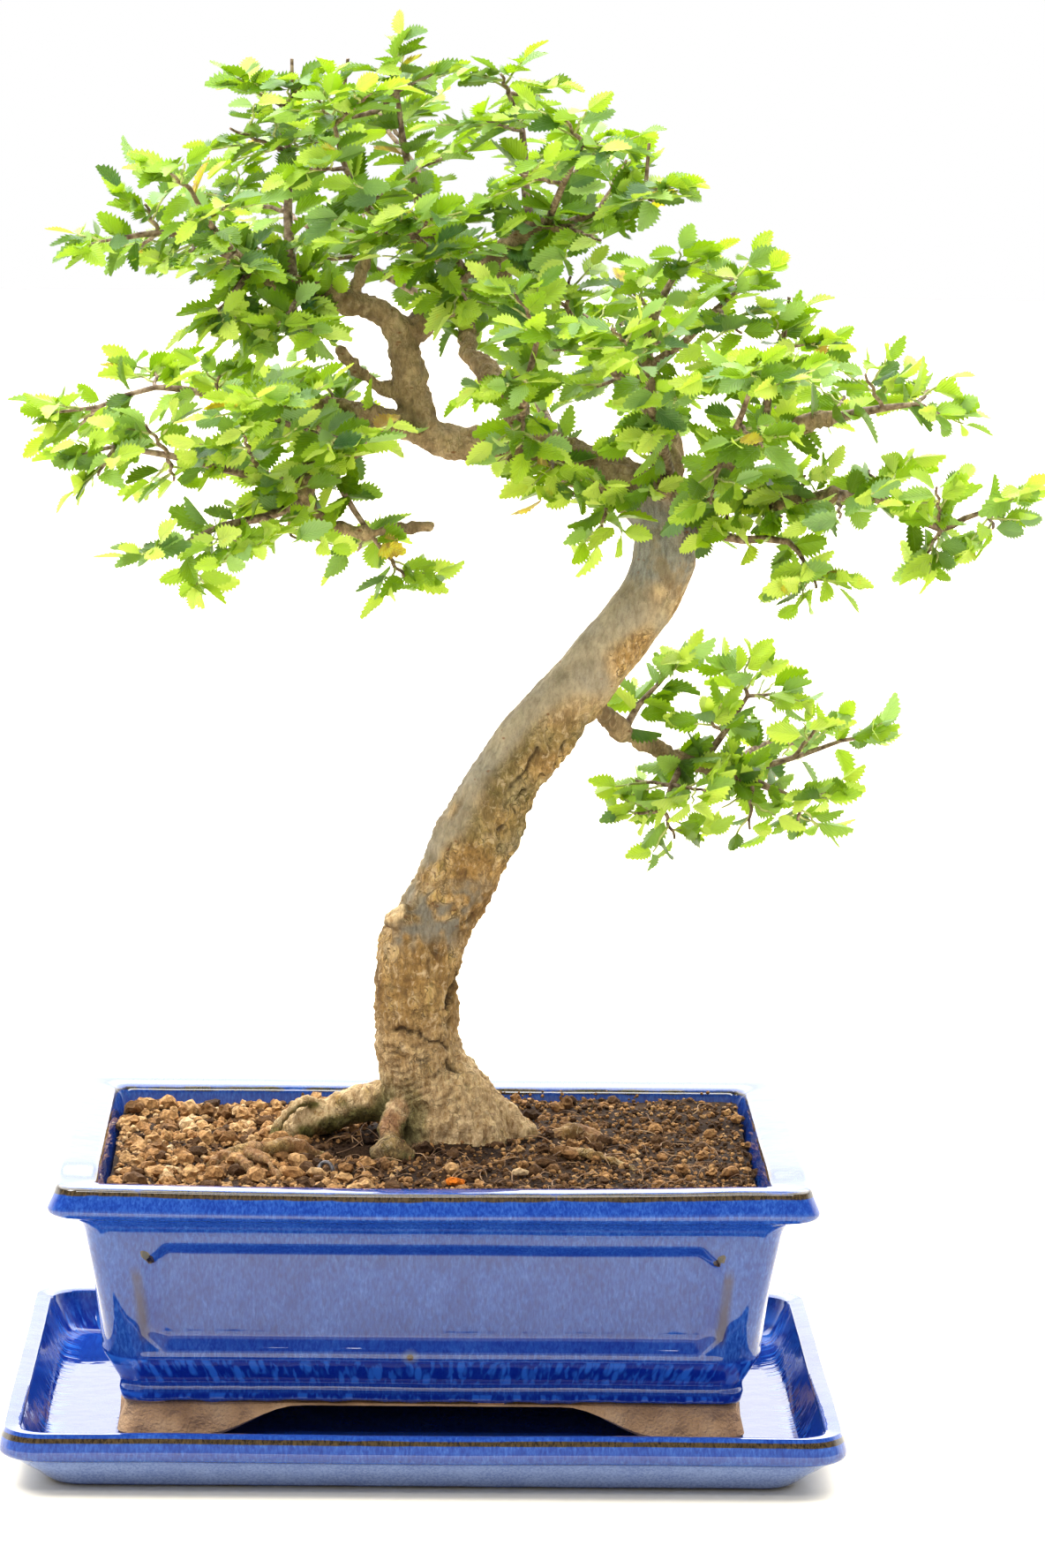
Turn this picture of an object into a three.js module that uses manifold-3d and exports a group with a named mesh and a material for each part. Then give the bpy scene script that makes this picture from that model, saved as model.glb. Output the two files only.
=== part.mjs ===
// Chinese elm bonsai in a glazed rectangular pot that stands in its drip tray.
// Millimetres, +Z up. The origin is the middle of the tray's underside, and -Y is the front.
import * as THREE from 'three';
import { mergeVertices } from 'three/addons/utils/BufferGeometryUtils.js';
import Module from 'manifold-3d';

const wasm = await Module();
wasm.setup();

// Driving sizes
const GAP = 0.3;
const POT_X = 3;
const POT_Y = 17;
const POT_DEPTH_LESS = 33.5;
const POT_CORNER = 8;
const POT_HALF_WIDTH = 130;
const POT_RIM_Z = 99.2;
const POT_FOOT_HALF_WIDTH = 107.2;
const POT_UNDERSIDE_Z = 18;
const POT_FLOOR_Z = 25;
const POT_FOOT_WALL = 8;
const POT_OPENING_HALF_WIDTH = 114.3;
const TRAY_DEPTH_LESS = 32.2;
const TRAY_CORNER = 14;
const TRAY_HALF_WIDTH = 141.9;
const TRAY_RIM_Z = 20.8;
const TRAY_FLOOR_Z = 7;
const SOIL_EDGE_Z = 91.5;
const SOIL_MOUND = 7;
const LEAF_THICKNESS = 1.5;
const SHOOT_DIAMETER = 2.8;
const CROWN_MIDDLE = new THREE.Vector3(20, 25, 330);

// Closed geometry to solid, and solid to geometry
function solidOf(geometry) {
  const bare = geometry.clone();
  bare.deleteAttribute('normal');
  bare.deleteAttribute('uv');
  const merged = mergeVertices(bare, 1e-4);
  const triangles = [];
  for (let i = 0; i < merged.index.count; i += 3) {
    const corners = [0, 1, 2].map((k) => merged.index.getX(i + k));
    if (new Set(corners).size === 3) triangles.push(...corners);
  }
  return new wasm.Manifold(new wasm.Mesh({
    numProp: 3,
    vertProperties: new Float32Array(merged.attributes.position.array),
    triVerts: new Uint32Array(triangles),
  }));
}

function geometryOf(solid) {
  const mesh = solid.getMesh();
  const geometry = new THREE.BufferGeometry();
  geometry.setAttribute('position', new THREE.BufferAttribute(new Float32Array(mesh.vertProperties), 3));
  geometry.setIndex(new THREE.BufferAttribute(new Uint32Array(mesh.triVerts), 1));
  return geometry;
}

function joined(solids) {
  return solids.reduce((whole, next) => whole.add(next));
}

function largestBody(solid) {
  return solid.decompose().reduce((best, body) => (body.volume() > best.volume() ? body : best));
}

// Rounded rectangular vessel: a lathe whose rings are pulled out to half width, corner radius and height.
// A row is [half width, height, corner radius]; a height may be a function of x and y.
function vessel(rows, depthLess, cornerSteps, centreX = 0, centreY = 0) {
  const unit = rows.map((row, level) => new THREE.Vector2(row[0] === 0 ? 0 : 1, level));
  const perCorner = cornerSteps + 1;
  const segments = 4 * perCorner;
  const lathe = new THREE.LatheGeometry(unit, segments);
  const position = lathe.attributes.position;
  for (let segment = 0; segment <= segments; segment += 1) {
    const corner = Math.floor((segment % segments) / perCorner);
    const step = (segment % segments) % perCorner;
    const angle = (corner + step / cornerSteps) * Math.PI / 2;
    const signX = corner === 0 || corner === 3 ? 1 : -1;
    const signY = corner < 2 ? 1 : -1;
    rows.forEach(([halfWidth, height, radius], level) => {
      const onAxis = halfWidth === 0;
      const reachX = signX * (halfWidth - radius) + radius * Math.cos(angle);
      const reachY = signY * (halfWidth - depthLess - radius) + radius * Math.sin(angle);
      const x = centreX + (onAxis ? 0 : reachX);
      const y = centreY + (onAxis ? 0 : reachY);
      const z = typeof height === 'function' ? height(x, y) : height;
      position.setXYZ(segment * rows.length + level, x, y, z);
    });
  }
  return solidOf(lathe);
}

// Tapered limb: a cylinder bent along a smooth curve through its points, with a diameter at each ring
function limb(points, diameters, sides, pad = 0) {
  const curve = new THREE.CatmullRomCurve3(
    points.map((p) => new THREE.Vector3(p[0], p[1], p[2])), false, 'catmullrom', 0.5);
  const steps = points.length - 1;
  const frames = [];
  let across = new THREE.Vector3(0, 1, 0);
  for (let i = 0; i <= steps; i += 1) {
    const along = curve.getTangent(i / steps);
    if (i === 0 && Math.abs(along.y) > 0.9) across = new THREE.Vector3(1, 0, 0);
    across = across.clone().addScaledVector(along, -across.dot(along)).normalize();
    frames.push({ at: curve.getPoint(i / steps), along, across, other: along.clone().cross(across) });
  }
  frames[0].at.addScaledVector(frames[0].along, -pad);
  frames[steps].at.addScaledVector(frames[steps].along, pad);
  const cylinder = new THREE.CylinderGeometry(1, 1, steps, sides, steps);
  const position = cylinder.attributes.position;
  for (let i = 0; i < position.count; i += 1) {
    const ring = Math.round(position.getY(i) + steps / 2);
    const frame = frames[ring];
    const radius = diameters[ring] / 2 + pad;
    const point = frame.at.clone()
      .addScaledVector(frame.across, radius * position.getZ(i))
      .addScaledVector(frame.other, radius * position.getX(i));
    position.setXYZ(i, point.x, point.y, point.z);
  }
  return solidOf(cylinder);
}

function taper(from, to, count) {
  return Array.from({ length: count }, (_, i) => from + (to - from) * i / (count - 1));
}

// Drip tray: rows run from the underside, up the outer wall, over the rim and down to the floor
function makeTray() {
  const rim = TRAY_RIM_Z;
  return vessel([
    [0, 0, 0],
    [124.5, 0, TRAY_CORNER - 3],
    [127, 1.5, TRAY_CORNER - 2],
    [138.6, 11.4, TRAY_CORNER],
    [TRAY_HALF_WIDTH - 0.4, 12.6, TRAY_CORNER],
    [TRAY_HALF_WIDTH, 17, TRAY_CORNER],
    [TRAY_HALF_WIDTH - 2.4, rim, TRAY_CORNER - 1],
    [TRAY_HALF_WIDTH - 5.4, rim, TRAY_CORNER - 3],
    [TRAY_HALF_WIDTH - 7, rim - 2, TRAY_CORNER - 4],
    [129, 8.2, TRAY_CORNER - 5],
    [127.4, TRAY_FLOOR_Z, TRAY_CORNER - 6],
    [0, TRAY_FLOOR_Z, 0],
  ], TRAY_DEPTH_LESS, 3);
}

// Pot: one fired piece, glazed above and bare at its four feet
const WALL_LEAN = Math.atan((117.2 - 111.4) / (75.7 - 41.5));
const PANEL_Z = 57.5;
const PANEL_HEIGHT = 34;
const PANEL_DEEP = 2;
const PANEL_FACE_HALF_WIDTH = 114.6;

function panelCutter(length) {
  const corner = 8;
  const halfLength = length / 2;
  const halfHeight = PANEL_HEIGHT / 2;
  const outline = new THREE.Shape();
  outline.moveTo(-halfLength + corner, -halfHeight);
  outline.lineTo(halfLength - corner, -halfHeight);
  outline.lineTo(halfLength, -halfHeight + corner);
  outline.lineTo(halfLength, halfHeight - corner);
  outline.lineTo(halfLength - corner, halfHeight);
  outline.lineTo(-halfLength + corner, halfHeight);
  outline.lineTo(-halfLength, halfHeight - corner);
  outline.lineTo(-halfLength, -halfHeight + corner);
  outline.closePath();
  return new THREE.ExtrudeGeometry(outline, { depth: 12, bevelEnabled: false });
}

// The window is drawn in the XY plane, stood up to lean with the wall, and turned to face its side
function panelAt(length, faceDistance, turn) {
  const cutter = panelCutter(length);
  cutter.rotateX(Math.PI / 2 - WALL_LEAN);
  cutter.translate(0, -faceDistance + PANEL_DEEP, PANEL_Z);
  cutter.rotateZ(turn);
  cutter.translate(POT_X, POT_Y, 0);
  return solidOf(cutter);
}

function archAt(bottomHalf, topHalf, turn) {
  const outline = new THREE.Shape();
  outline.moveTo(-bottomHalf, 0);
  outline.lineTo(bottomHalf, 0);
  outline.lineTo(topHalf, POT_UNDERSIDE_Z - TRAY_FLOOR_Z);
  outline.lineTo(-topHalf, POT_UNDERSIDE_Z - TRAY_FLOOR_Z);
  outline.closePath();
  const cutter = new THREE.ExtrudeGeometry(outline, { depth: 280, bevelEnabled: false });
  cutter.translate(0, 0, -140);
  cutter.rotateX(Math.PI / 2);
  cutter.rotateZ(turn);
  cutter.translate(POT_X, POT_Y, TRAY_FLOOR_Z);
  return solidOf(cutter);
}

const DRAIN_HOLE_X = 48;
const DRAIN_HOLE_DIAMETER = 15;

function makePot() {
  const less = POT_DEPTH_LESS;
  const corner = POT_CORNER;
  const footZ = TRAY_FLOOR_Z + GAP;
  const body = vessel([
    [0, footZ, 0],
    [POT_FOOT_HALF_WIDTH, footZ, corner - 1],
    [104.3, 18.4, corner - 1],
    [105.3, 22.4, corner - 1],
    [107, 25.5, corner],
    [107.6, 30.7, corner],
    [111.4, 41.5, corner],
    [114, 52, corner],
    [117.2, 75.7, corner],
    [118.6, 82, corner],
    [122, 86.2, corner],
    [128.6, 88.6, corner],
    [POT_HALF_WIDTH, 91, corner],
    [POT_HALF_WIDTH, 96.2, corner],
    [POT_HALF_WIDTH - 2, POT_RIM_Z, corner - 1],
    [POT_OPENING_HALF_WIDTH, POT_RIM_Z - 0.4, corner - 3],
    [111.6, 91, corner - 3],
    [108, 60, corner - 3],
    [102.5, 36, corner - 3],
    [98, POT_FLOOR_Z, corner - 3],
    [0, POT_FLOOR_Z, 0],
  ], less, 3, POT_X, POT_Y);
  const footHollow = vessel([
    [0, footZ - 2, 0],
    [POT_FOOT_HALF_WIDTH - POT_FOOT_WALL, footZ - 2, corner - 4],
    [POT_FOOT_HALF_WIDTH - POT_FOOT_WALL, POT_UNDERSIDE_Z, corner - 4],
    [0, POT_UNDERSIDE_Z, 0],
  ], less, 2, POT_X, POT_Y);
  let pot = body.subtract(footHollow);
  pot = pot.subtract(archAt(80, 48, 0));
  pot = pot.subtract(archAt(46, 22, Math.PI / 2));
  for (const turn of [0, Math.PI]) {
    pot = pot.subtract(panelAt(196, PANEL_FACE_HALF_WIDTH - less, turn));
    pot = pot.subtract(panelAt(128, PANEL_FACE_HALF_WIDTH, turn + Math.PI / 2));
  }
  for (const side of [-1, 1]) {
    const drill = new THREE.CylinderGeometry(DRAIN_HOLE_DIAMETER / 2, DRAIN_HOLE_DIAMETER / 2, 20, 12);
    drill.rotateX(Math.PI / 2);
    drill.translate(POT_X + side * DRAIN_HOLE_X, POT_Y, (POT_UNDERSIDE_Z + POT_FLOOR_Z) / 2);
    pot = pot.subtract(solidOf(drill));
  }
  return pot;
}

// Drain mesh: a square of plastic netting over each hole in the pot's floor
const MESH_SIDE = 27;
const MESH_THICKNESS = 1.2;
const MESH_PITCH = 11;
const MESH_HOLE = 8;

function makeDrainMesh(side) {
  const plate = new THREE.BoxGeometry(MESH_SIDE, MESH_SIDE, MESH_THICKNESS);
  const holes = [];
  for (const column of [-0.5, 0.5]) {
    for (const row of [-0.5, 0.5]) {
      const hole = new THREE.BoxGeometry(MESH_HOLE, MESH_HOLE, 3 * MESH_THICKNESS);
      hole.translate(column * MESH_PITCH, row * MESH_PITCH, 0);
      holes.push(solidOf(hole));
    }
  }
  const middleZ = POT_FLOOR_Z + GAP + MESH_THICKNESS / 2;
  const netting = solidOf(plate).subtract(joined(holes));
  return netting.translate([POT_X + side * DRAIN_HOLE_X, POT_Y, middleZ]);
}

// Trunk: x, y, z and diameter at each ring, from the root ball in the soil up to the first limbs
const TRUNK = [
  [14, 22, 58, 20],
  [14, 22, 75, 32],
  [12, 23, 91, 40.4],
  [7, 23, 106, 37],
  [0, 22, 120, 29],
  [-3, 20, 138, 27],
  [-3, 20, 152, 27.5],
  [-1, 20, 164, 29],
  [4, 20, 176, 25.5],
  [12, 20, 192, 25.5],
  [18, 20, 206, 26.5],
  [27, 20, 225, 24],
  [42, 20, 245, 22.5],
  [57, 20, 263, 22.5],
  [71, 20, 280, 21.5],
  [79, 20, 295, 22],
  [82, 20, 310, 21.5],
  [83, 20, 322, 18.5],
];

// Limbs and roots that are part of the trunk's own wood: first diameter, last diameter, points
const WOOD = [
  [19, 6, [[81, 20, 314], [70, 20, 325], [55, 22, 332], [38, 20, 338], [22, 18, 340], [8, 15, 341],
    [-3, 12, 345], [-13, 10, 349], [-26, 6, 351]]],
  [13, 9, [[-4, 13, 344], [-6, 14, 354], [-8, 13, 364], [-10, 12, 375], [-12, 11, 383]]],
  [9, 5, [[-12, 11, 381], [-20, 9, 387], [-33, 4, 391], [-49, -2, 396], [-66, -10, 404]]],
  [8.5, 5.5, [[-11, 12, 377], [-2, 15, 384], [6, 18, 389], [9, 20, 396], [4, 22, 406], [-2, 24, 413]]],
  [6.5, 4, [[8, 19, 393], [16, 14, 399], [25, 8, 409], [34, 4, 416], [44, -2, 417]]],
  [10, 4.5, [[31, 22, 338], [28, 34, 353], [19, 44, 365], [13, 50, 370], [16, 62, 384], [28, 76, 399]]],
  [8.5, 7.5, [[-15, 10, 348], [-25, 2, 342], [-35, -5, 339], [-43, -10, 330], [-46, -12, 320]]],
  [6, 5, [[-44, -11, 326], [-58, -18, 332]]],
  [6, 4, [[-23, 7, 351], [-37, 18, 347], [-55, 32, 349]]],
  [13, 6.5, [[83, 20, 314], [82, 22, 327], [81, 26, 341], [77, 28, 355], [74, 30, 370]]],
  [10, 4.5, [[85, 16, 322], [97, 12, 328], [109, 6, 344], [120, 2, 348], [137, -6, 353]]],
  [7, 4.5, [[91, 16, 320], [105, 8, 322], [121, -2, 324], [139, -10, 327]]],
  [6.5, 3.6, [[57, 24, 249], [74, 40, 235], [88, 48, 228], [99, 52, 223], [115, 54, 219]]],
  // Roots: the thick one to the left, the right toe, the one down the front, and one through the soil
  [15, 7, [[2, 24, 110], [-18, 28, 107], [-34, 31, 102], [-47, 30, 98], [-56, 24, 90]]],
  [17.5, 8, [[9, 23, 114], [26, 23.4, 103], [41, 22.6, 91]]],
  [7, 8, [[-6, 20, 112], [-11, 9, 104], [-12, 1, 97], [-12, -3, 90]]],
  [8, 4, [[4, 16, 88], [-30, 10, 89], [-52, 4, 95], [-70, 0, 88]]],
  // Cut stubs
  [9, 7, [[4, 17, 166], [-4, 13, 172], [-11, 10, 178]]],
  [6, 4.6, [[80, 16, 321], [81, 5, 328]]],
  [4.6, 3.2, [[-6, 13, 356], [-20, 11, 362], [-33, 8, 374]]],
  [4.6, 3.2, [[-45, -13, 324], [-34, -14, 315], [0, -16, 315]]],
  [4.6, 3.4, [[-24, 7, 352], [-32, 10, 355], [-42, 6, 353]]],
];
const TRUNK_SIDES = 10;
const THICK_SIDES = 7;
const THIN_SIDES = 5;

function makeWood(pad) {
  const trunk = limb(TRUNK, TRUNK.map((ring) => ring[3]), TRUNK_SIDES, pad);
  const limbs = WOOD.map(([from, to, points]) => {
    const sides = from > 8 ? THICK_SIDES : THIN_SIDES;
    return limb(points, taper(from, to, points.length), sides, pad);
  });
  return largestBody(joined([trunk, ...limbs]));
}

// Tie wire: a small loop of it shows at the front of the soil
function makeTieWire(pad) {
  const points = [[-38, -31, 84], [-37, -30, 93], [-34, -28, 97], [-31, -30, 93], [-30, -31, 84]];
  return limb(points, taper(1.6, 1.6, points.length), 6, pad);
}

// Soil: fills the pot's inside and rises in a low mound to the trunk
function soilHeight(x, y) {
  const mound = Math.exp(-(((x - 6) / 62) ** 2) - (((y - 26) / 48) ** 2));
  const ripple = 0.9 * Math.sin(x / 8 + y / 11) * Math.cos(y / 7 - x / 13);
  return SOIL_EDGE_Z + SOIL_MOUND * mound + ripple;
}

function makeSoil(wood, drainMeshes, tieWire) {
  const corner = POT_CORNER - 3;
  const rows = [
    [0, POT_FLOOR_Z + GAP, 0],
    [98 - GAP, POT_FLOOR_Z + GAP, corner],
    [102.5 - GAP, 36, corner],
    [108 - GAP, 60, corner],
    [111.4 - GAP, 89, corner],
  ];
  for (const halfWidth of [110.6, 94, 76, 58, 44]) {
    rows.push([halfWidth, soilHeight, Math.min(corner + (111 - halfWidth) / 5, 11)]);
  }
  rows.push([0, soilHeight, 0]);
  let soil = vessel(rows, POT_DEPTH_LESS, 3, POT_X, POT_Y);
  for (const piece of [wood, tieWire]) soil = soil.subtract(piece);
  for (const side of drainMeshes) {
    const half = MESH_SIDE / 2 + GAP;
    const room = new THREE.BoxGeometry(2 * half, 2 * half, 2 * (MESH_THICKNESS + 2 * GAP));
    room.translate(POT_X + side * DRAIN_HOLE_X, POT_Y, POT_FLOOR_Z + GAP);
    soil = soil.subtract(solidOf(room));
  }
  return largestBody(soil);
}

// Leafy branchlets: name, first and last diameter, stem points, and shoots given as [stem point, tip]
const SPRAYS = [
  ['spray_far_left', 5, 2.4, [[-66, -10, 404], [-79, -14, 412], [-93, -18, 414], [-106, -22, 412]],
    [[3, [-123, -26, 409]], [2, [-101, -30, 432]], [1, [-85, -34, 404]], [2, [-109, 14, 401]]]],
  ['spray_left_riser', 5.5, 2.4,
    [[-48, -1, 395], [-49, 6, 405], [-50, 12, 420], [-50, 16, 440], [-52, 14, 456]],
    [[4, [-73, 16, 466]], [4, [-39, 6, 471]], [3, [-77, -10, 452]], [3, [-62, 60, 442]],
      [2, [-84, 40, 426]], [3, [-32, -10, 448]]]],
  ['spray_left_fore', 4, 2.2, [[-57, -6, 399], [-67, -26, 408], [-76, -44, 420], [-81, -52, 430]],
    [[3, [-94, -66, 441]], [1, [-73, -50, 400]], [2, [-65, -80, 429]]]],
  ['spray_left_fringe', 4.2, 2.4, [[-42, 1, 394], [-47, -14, 390], [-50, -24, 386]],
    [[2, [-32, -30, 379]], [2, [-60, -36, 378]], [1, [-42, 6, 374]]]],
  ['spray_far_fringe', 3.8, 2.2, [[-61, -7, 402], [-66, -15, 396], [-70, -20, 391]],
    [[2, [-79, -30, 382]], [2, [-60, -20, 382]]]],
  ['spray_crown_low', 4.6, 2.2, [[6, 18, 390], [4, -6, 400], [0, -28, 408], [-7, -42, 416]],
    [[3, [-27, -66, 418]], [3, [3, -70, 427]], [2, [-16, -56, 405]], [1, [19, -26, 384]],
      [2, [20, -50, 411]]]],
  ['spray_crown_top', 5, 2.4, [[-2, 24, 413], [-7, 26, 429], [-11, 26, 445], [-13, 22, 461]],
    [[3, [-16, 16, 480]], [3, [8, 34, 471]], [2, [-28, 50, 461]], [0, [20, 10, 425]]]],
  ['spray_crown_fore', 4.5, 2.2,
    [[-1, 23, 411], [-13, 2, 414], [-23, -22, 424], [-30, -38, 437], [-34, -42, 452]],
    [[4, [-45, -56, 468]], [4, [-16, -70, 468]], [3, [-48, -64, 438]], [2, [-16, -64, 432]],
      [1, [-35, -28, 416]]]],
  ['spray_crown_back', 4.5, 2.4, [[3, 24, 402], [0, 48, 419], [-6, 68, 433], [-16, 80, 445]],
    [[3, [-35, 104, 456]], [3, [0, 110, 456]], [2, [22, 80, 442]]]],
  ['spray_top_right', 4, 2.6, [[44, -2, 417], [56, -8, 423], [69, -14, 429]],
    [[2, [87, -20, 435]], [2, [76, -40, 426]], [1, [70, 0, 449]], [0, [61, -34, 412]]]],
  ['spray_top_riser', 4.5, 2.4, [[33, 5, 415], [31, 14, 431], [30, 20, 448], [25, 20, 461]],
    [[3, [20, 6, 473]], [3, [45, 34, 459]], [2, [11, -24, 455]]]],
  ['spray_top_fore', 3.6, 2.4, [[38, 1, 416], [43, -22, 432], [49, -36, 446]],
    [[2, [37, -50, 462]], [2, [66, -60, 445]], [1, [19, -58, 439]]]],
  ['spray_rear_top', 4.5, 2.6, [[28, 76, 399], [41, 84, 416], [50, 84, 431]],
    [[2, [65, 84, 446]], [2, [38, 116, 444]], [1, [67, 106, 413]]]],
  ['spray_rear_left', 5, 2.4, [[14, 56, 377], [-6, 78, 389], [-28, 92, 400], [-47, 98, 412]],
    [[3, [-63, 124, 422]], [2, [-22, 128, 422]], [2, [-50, 84, 398]]]],
  ['spray_low_left', 5, 2.2, [[-58, -18, 332], [-73, -24, 336], [-89, -30, 340], [-107, -34, 343]],
    [[3, [-127, -40, 339]], [3, [-115, -56, 329]], [2, [-100, -52, 358]], [2, [-87, -4, 324]],
      [0, [-65, -62, 354]]]],
  ['spray_low_fore', 5, 2.2, [[-45, -14, 323], [-56, -26, 319], [-71, -38, 317], [-84, -44, 311]],
    [[3, [-106, -56, 308]], [3, [-75, -46, 290]], [2, [-58, -66, 307]], [1, [-41, -62, 313]]]],
  ['spray_low_twig', 3.2, 2.2, [[-35, -5, 337], [-30, -10, 326], [-22, -12, 314], [-15, -14, 305]],
    [[3, [-4, -26, 293]], [2, [-27, 12, 299]]]],
  ['spray_low_rear', 4, 2.2, [[-55, 32, 349], [-75, 40, 354], [-96, 42, 357], [-116, 40, 350]],
    [[3, [-141, 36, 347]], [3, [-130, 70, 335]], [2, [-97, 66, 367]], [1, [-73, 30, 372]],
      [0, [-48, 4, 365]]]],
  ['spray_low_back', 4, 2.4, [[-37, 18, 347], [-49, 52, 350], [-62, 80, 352]],
    [[2, [-85, 112, 357]], [2, [-50, 116, 357]], [1, [-27, 70, 355]]]],
  ['spray_low_front', 4, 2.4, [[-29, -2, 341], [-42, -26, 348], [-56, -46, 355]],
    [[2, [-70, -80, 365]], [2, [-44, -86, 365]], [1, [-15, -56, 346]]]],
  ['spray_middle_top', 6, 3, [[74, 30, 370], [77, 32, 385], [84, 32, 399]],
    [[2, [91, 24, 406]], [2, [77, 60, 400]], [1, [63, 10, 400]]]],
  ['spray_middle_left', 5, 2.6, [[77, 28, 354], [65, 16, 364], [54, 4, 376], [45, -4, 390]],
    [[3, [29, -14, 398]], [3, [47, -24, 408]], [2, [35, -30, 376]], [1, [46, 40, 355]]]],
  ['spray_middle_right', 4.5, 2.2, [[75, 30, 367], [87, 16, 377], [97, 6, 389], [103, 0, 395]],
    [[3, [110, -10, 399]], [3, [101, 30, 403]], [2, [107, -30, 380]]]],
  ['spray_middle_back', 7, 2.8, [[81, 27, 340], [77, 58, 349], [70, 88, 359], [64, 110, 372]],
    [[3, [49, 132, 383]], [3, [81, 140, 383]], [2, [49, 120, 355]]]],
  ['spray_middle_fore', 6, 2.6, [[82, 18, 331], [78, -10, 345], [72, -38, 362], [67, -56, 378]],
    [[3, [54, -86, 392]], [3, [77, -88, 386]], [2, [93, -60, 367]], [1, [62, -40, 346]]]],
  ['spray_limb_back', 6.5, 2.6, [[46, 22, 334], [41, 50, 345], [36, 80, 358], [34, 100, 372]],
    [[3, [23, 124, 386]], [3, [42, 130, 380]], [2, [17, 110, 352]]]],
  ['spray_limb_fore', 5.5, 2.4, [[29, 17, 339], [30, -12, 353], [32, -38, 369], [35, -52, 385]],
    [[3, [21, -65, 406]], [3, [42, -84, 386]], [2, [14, -58, 366]], [1, [33, -30, 334]]]],
  ['spray_right_end', 4.5, 2.2, [[137, -6, 353], [153, -12, 357], [165, -16, 359]],
    [[2, [178, -24, 353]], [2, [173, 6, 366]], [1, [142, -30, 377]], [0, [145, 40, 359]]]],
  ['spray_right_riser', 4.5, 2.6, [[114, 4, 347], [115, 0, 362], [117, -4, 376]],
    [[2, [121, -10, 389]], [2, [140, -20, 382]], [1, [99, -4, 372]]]],
  ['spray_right_rear', 5, 2.4, [[101, 12, 333], [111, 40, 341], [122, 68, 349], [131, 86, 359]],
    [[3, [147, 110, 367]], [3, [119, 116, 366]], [2, [149, 88, 343]]]],
  ['spray_right_fore', 5, 2.4, [[95, 12, 327], [98, -18, 340], [102, -46, 354], [105, -62, 367]],
    [[3, [94, -92, 381]], [3, [117, -96, 373]], [2, [113, -74, 345]], [1, [92, -36, 317]]]],
  ['spray_far_right', 4.5, 2.2,
    [[139, -10, 327], [154, -16, 326], [173, -22, 317], [181, -24, 321], [189, -26, 324]],
    [[4, [204, -28, 331]], [4, [190, -40, 314]], [2, [168, -50, 340]], [2, [165, -24, 302]],
      [1, [150, 24, 336]], [0, [137, -44, 319]]]],
  ['spray_hanging', 4.5, 2.2, [[93, 16, 312], [107, 2, 310], [122, -12, 311], [127, -20, 305]],
    [[3, [134, -30, 290]], [3, [117, -34, 294]]]],
  ['spray_lowest_end', 3.6, 2.6, [[115, 54, 219], [132, 54, 212]],
    [[1, [148, 44, 219]], [1, [133, 62, 196]], [0, [114, 44, 192]]]],
  ['spray_lowest_up', 4, 2.4, [[96, 51, 224], [105, 54, 236], [113, 54, 249]],
    [[2, [107, 50, 265]], [2, [134, 60, 250]], [1, [91, 30, 248]]]],
  ['spray_lowest_rise', 3.6, 2.2, [[69, 36, 239], [74, 42, 247], [81, 46, 254]],
    [[2, [92, 46, 267]], [1, [79, 66, 247]]]],
  ['spray_lowest_out', 3.4, 2.2, [[108, 53, 221], [130, 62, 226], [148, 66, 232]],
    [[2, [166, 70, 234]], [1, [145, 50, 248]]]],
  ['spray_lowest_down', 3.4, 2.2, [[91, 49, 226], [86, 40, 219], [83, 32, 211]],
    [[2, [64, 20, 211]], [2, [90, 26, 194]], [1, [64, 52, 220]], [1, [103, 14, 220]]]],
  ['spray_lowest_back', 3.2, 2.2, [[106, 53, 222], [116, 80, 226], [127, 98, 228]],
    [[2, [141, 124, 220]], [1, [107, 90, 208]]]],
];

// Seeded draws, so the same leaves grow each time
function makeDraw(seed) {
  let state = seed;
  return (low = 0, high = 1) => {
    state = (state * 16807) % 2147483647;
    return low + (high - low) * state / 2147483647;
  };
}

// One elm leaf: a lens-shaped blade folded along its midrib, with a toothed edge and a pointed tip
const LEAF_EDGE = [[0.42, 1], [0.5, 0.82], [0.72, 0.8], [0.79, 0.46]];
const LEAF_RIDGE = 0.36;
const LEAF_FOLD = 0.16;
const ROOT_SUNK = 0.6;

function leafSolid(leaf) {
  const { length, width } = leaf;
  const droop = (x) => -leaf.curl * length * x * x;
  const rim = [[-ROOT_SUNK, 0, 0]];
  for (const [x, reach] of LEAF_EDGE) {
    const y = reach * width * length / 2;
    rim.push([x * length, y, LEAF_FOLD * y + droop(x)]);
  }
  rim.push([length, 0, droop(1)]);
  for (const [x, reach] of [...LEAF_EDGE].reverse()) {
    const y = reach * width * length / 2;
    rim.push([x * length, -y, LEAF_FOLD * y + droop(x)]);
  }
  const ridgeX = LEAF_RIDGE * length;
  const ridgeZ = droop(LEAF_RIDGE);
  const ridge = [[ridgeX, 0, ridgeZ + LEAF_THICKNESS / 2], [ridgeX, 0, ridgeZ - LEAF_THICKNESS / 2]];
  const triangles = [];
  rim.forEach((_, i) => {
    const next = (i + 1) % rim.length;
    triangles.push([next, i, rim.length], [i, next, rim.length + 1]);
  });
  const geometry = new THREE.BufferGeometry();
  geometry.setAttribute('position', new THREE.Float32BufferAttribute([...rim, ...ridge].flat(), 3));
  geometry.setIndex(triangles.flat());
  const place = new THREE.Matrix4().makeBasis(leaf.along, leaf.across, leaf.face).setPosition(leaf.at);
  geometry.applyMatrix4(place);
  return solidOf(geometry);
}

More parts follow.
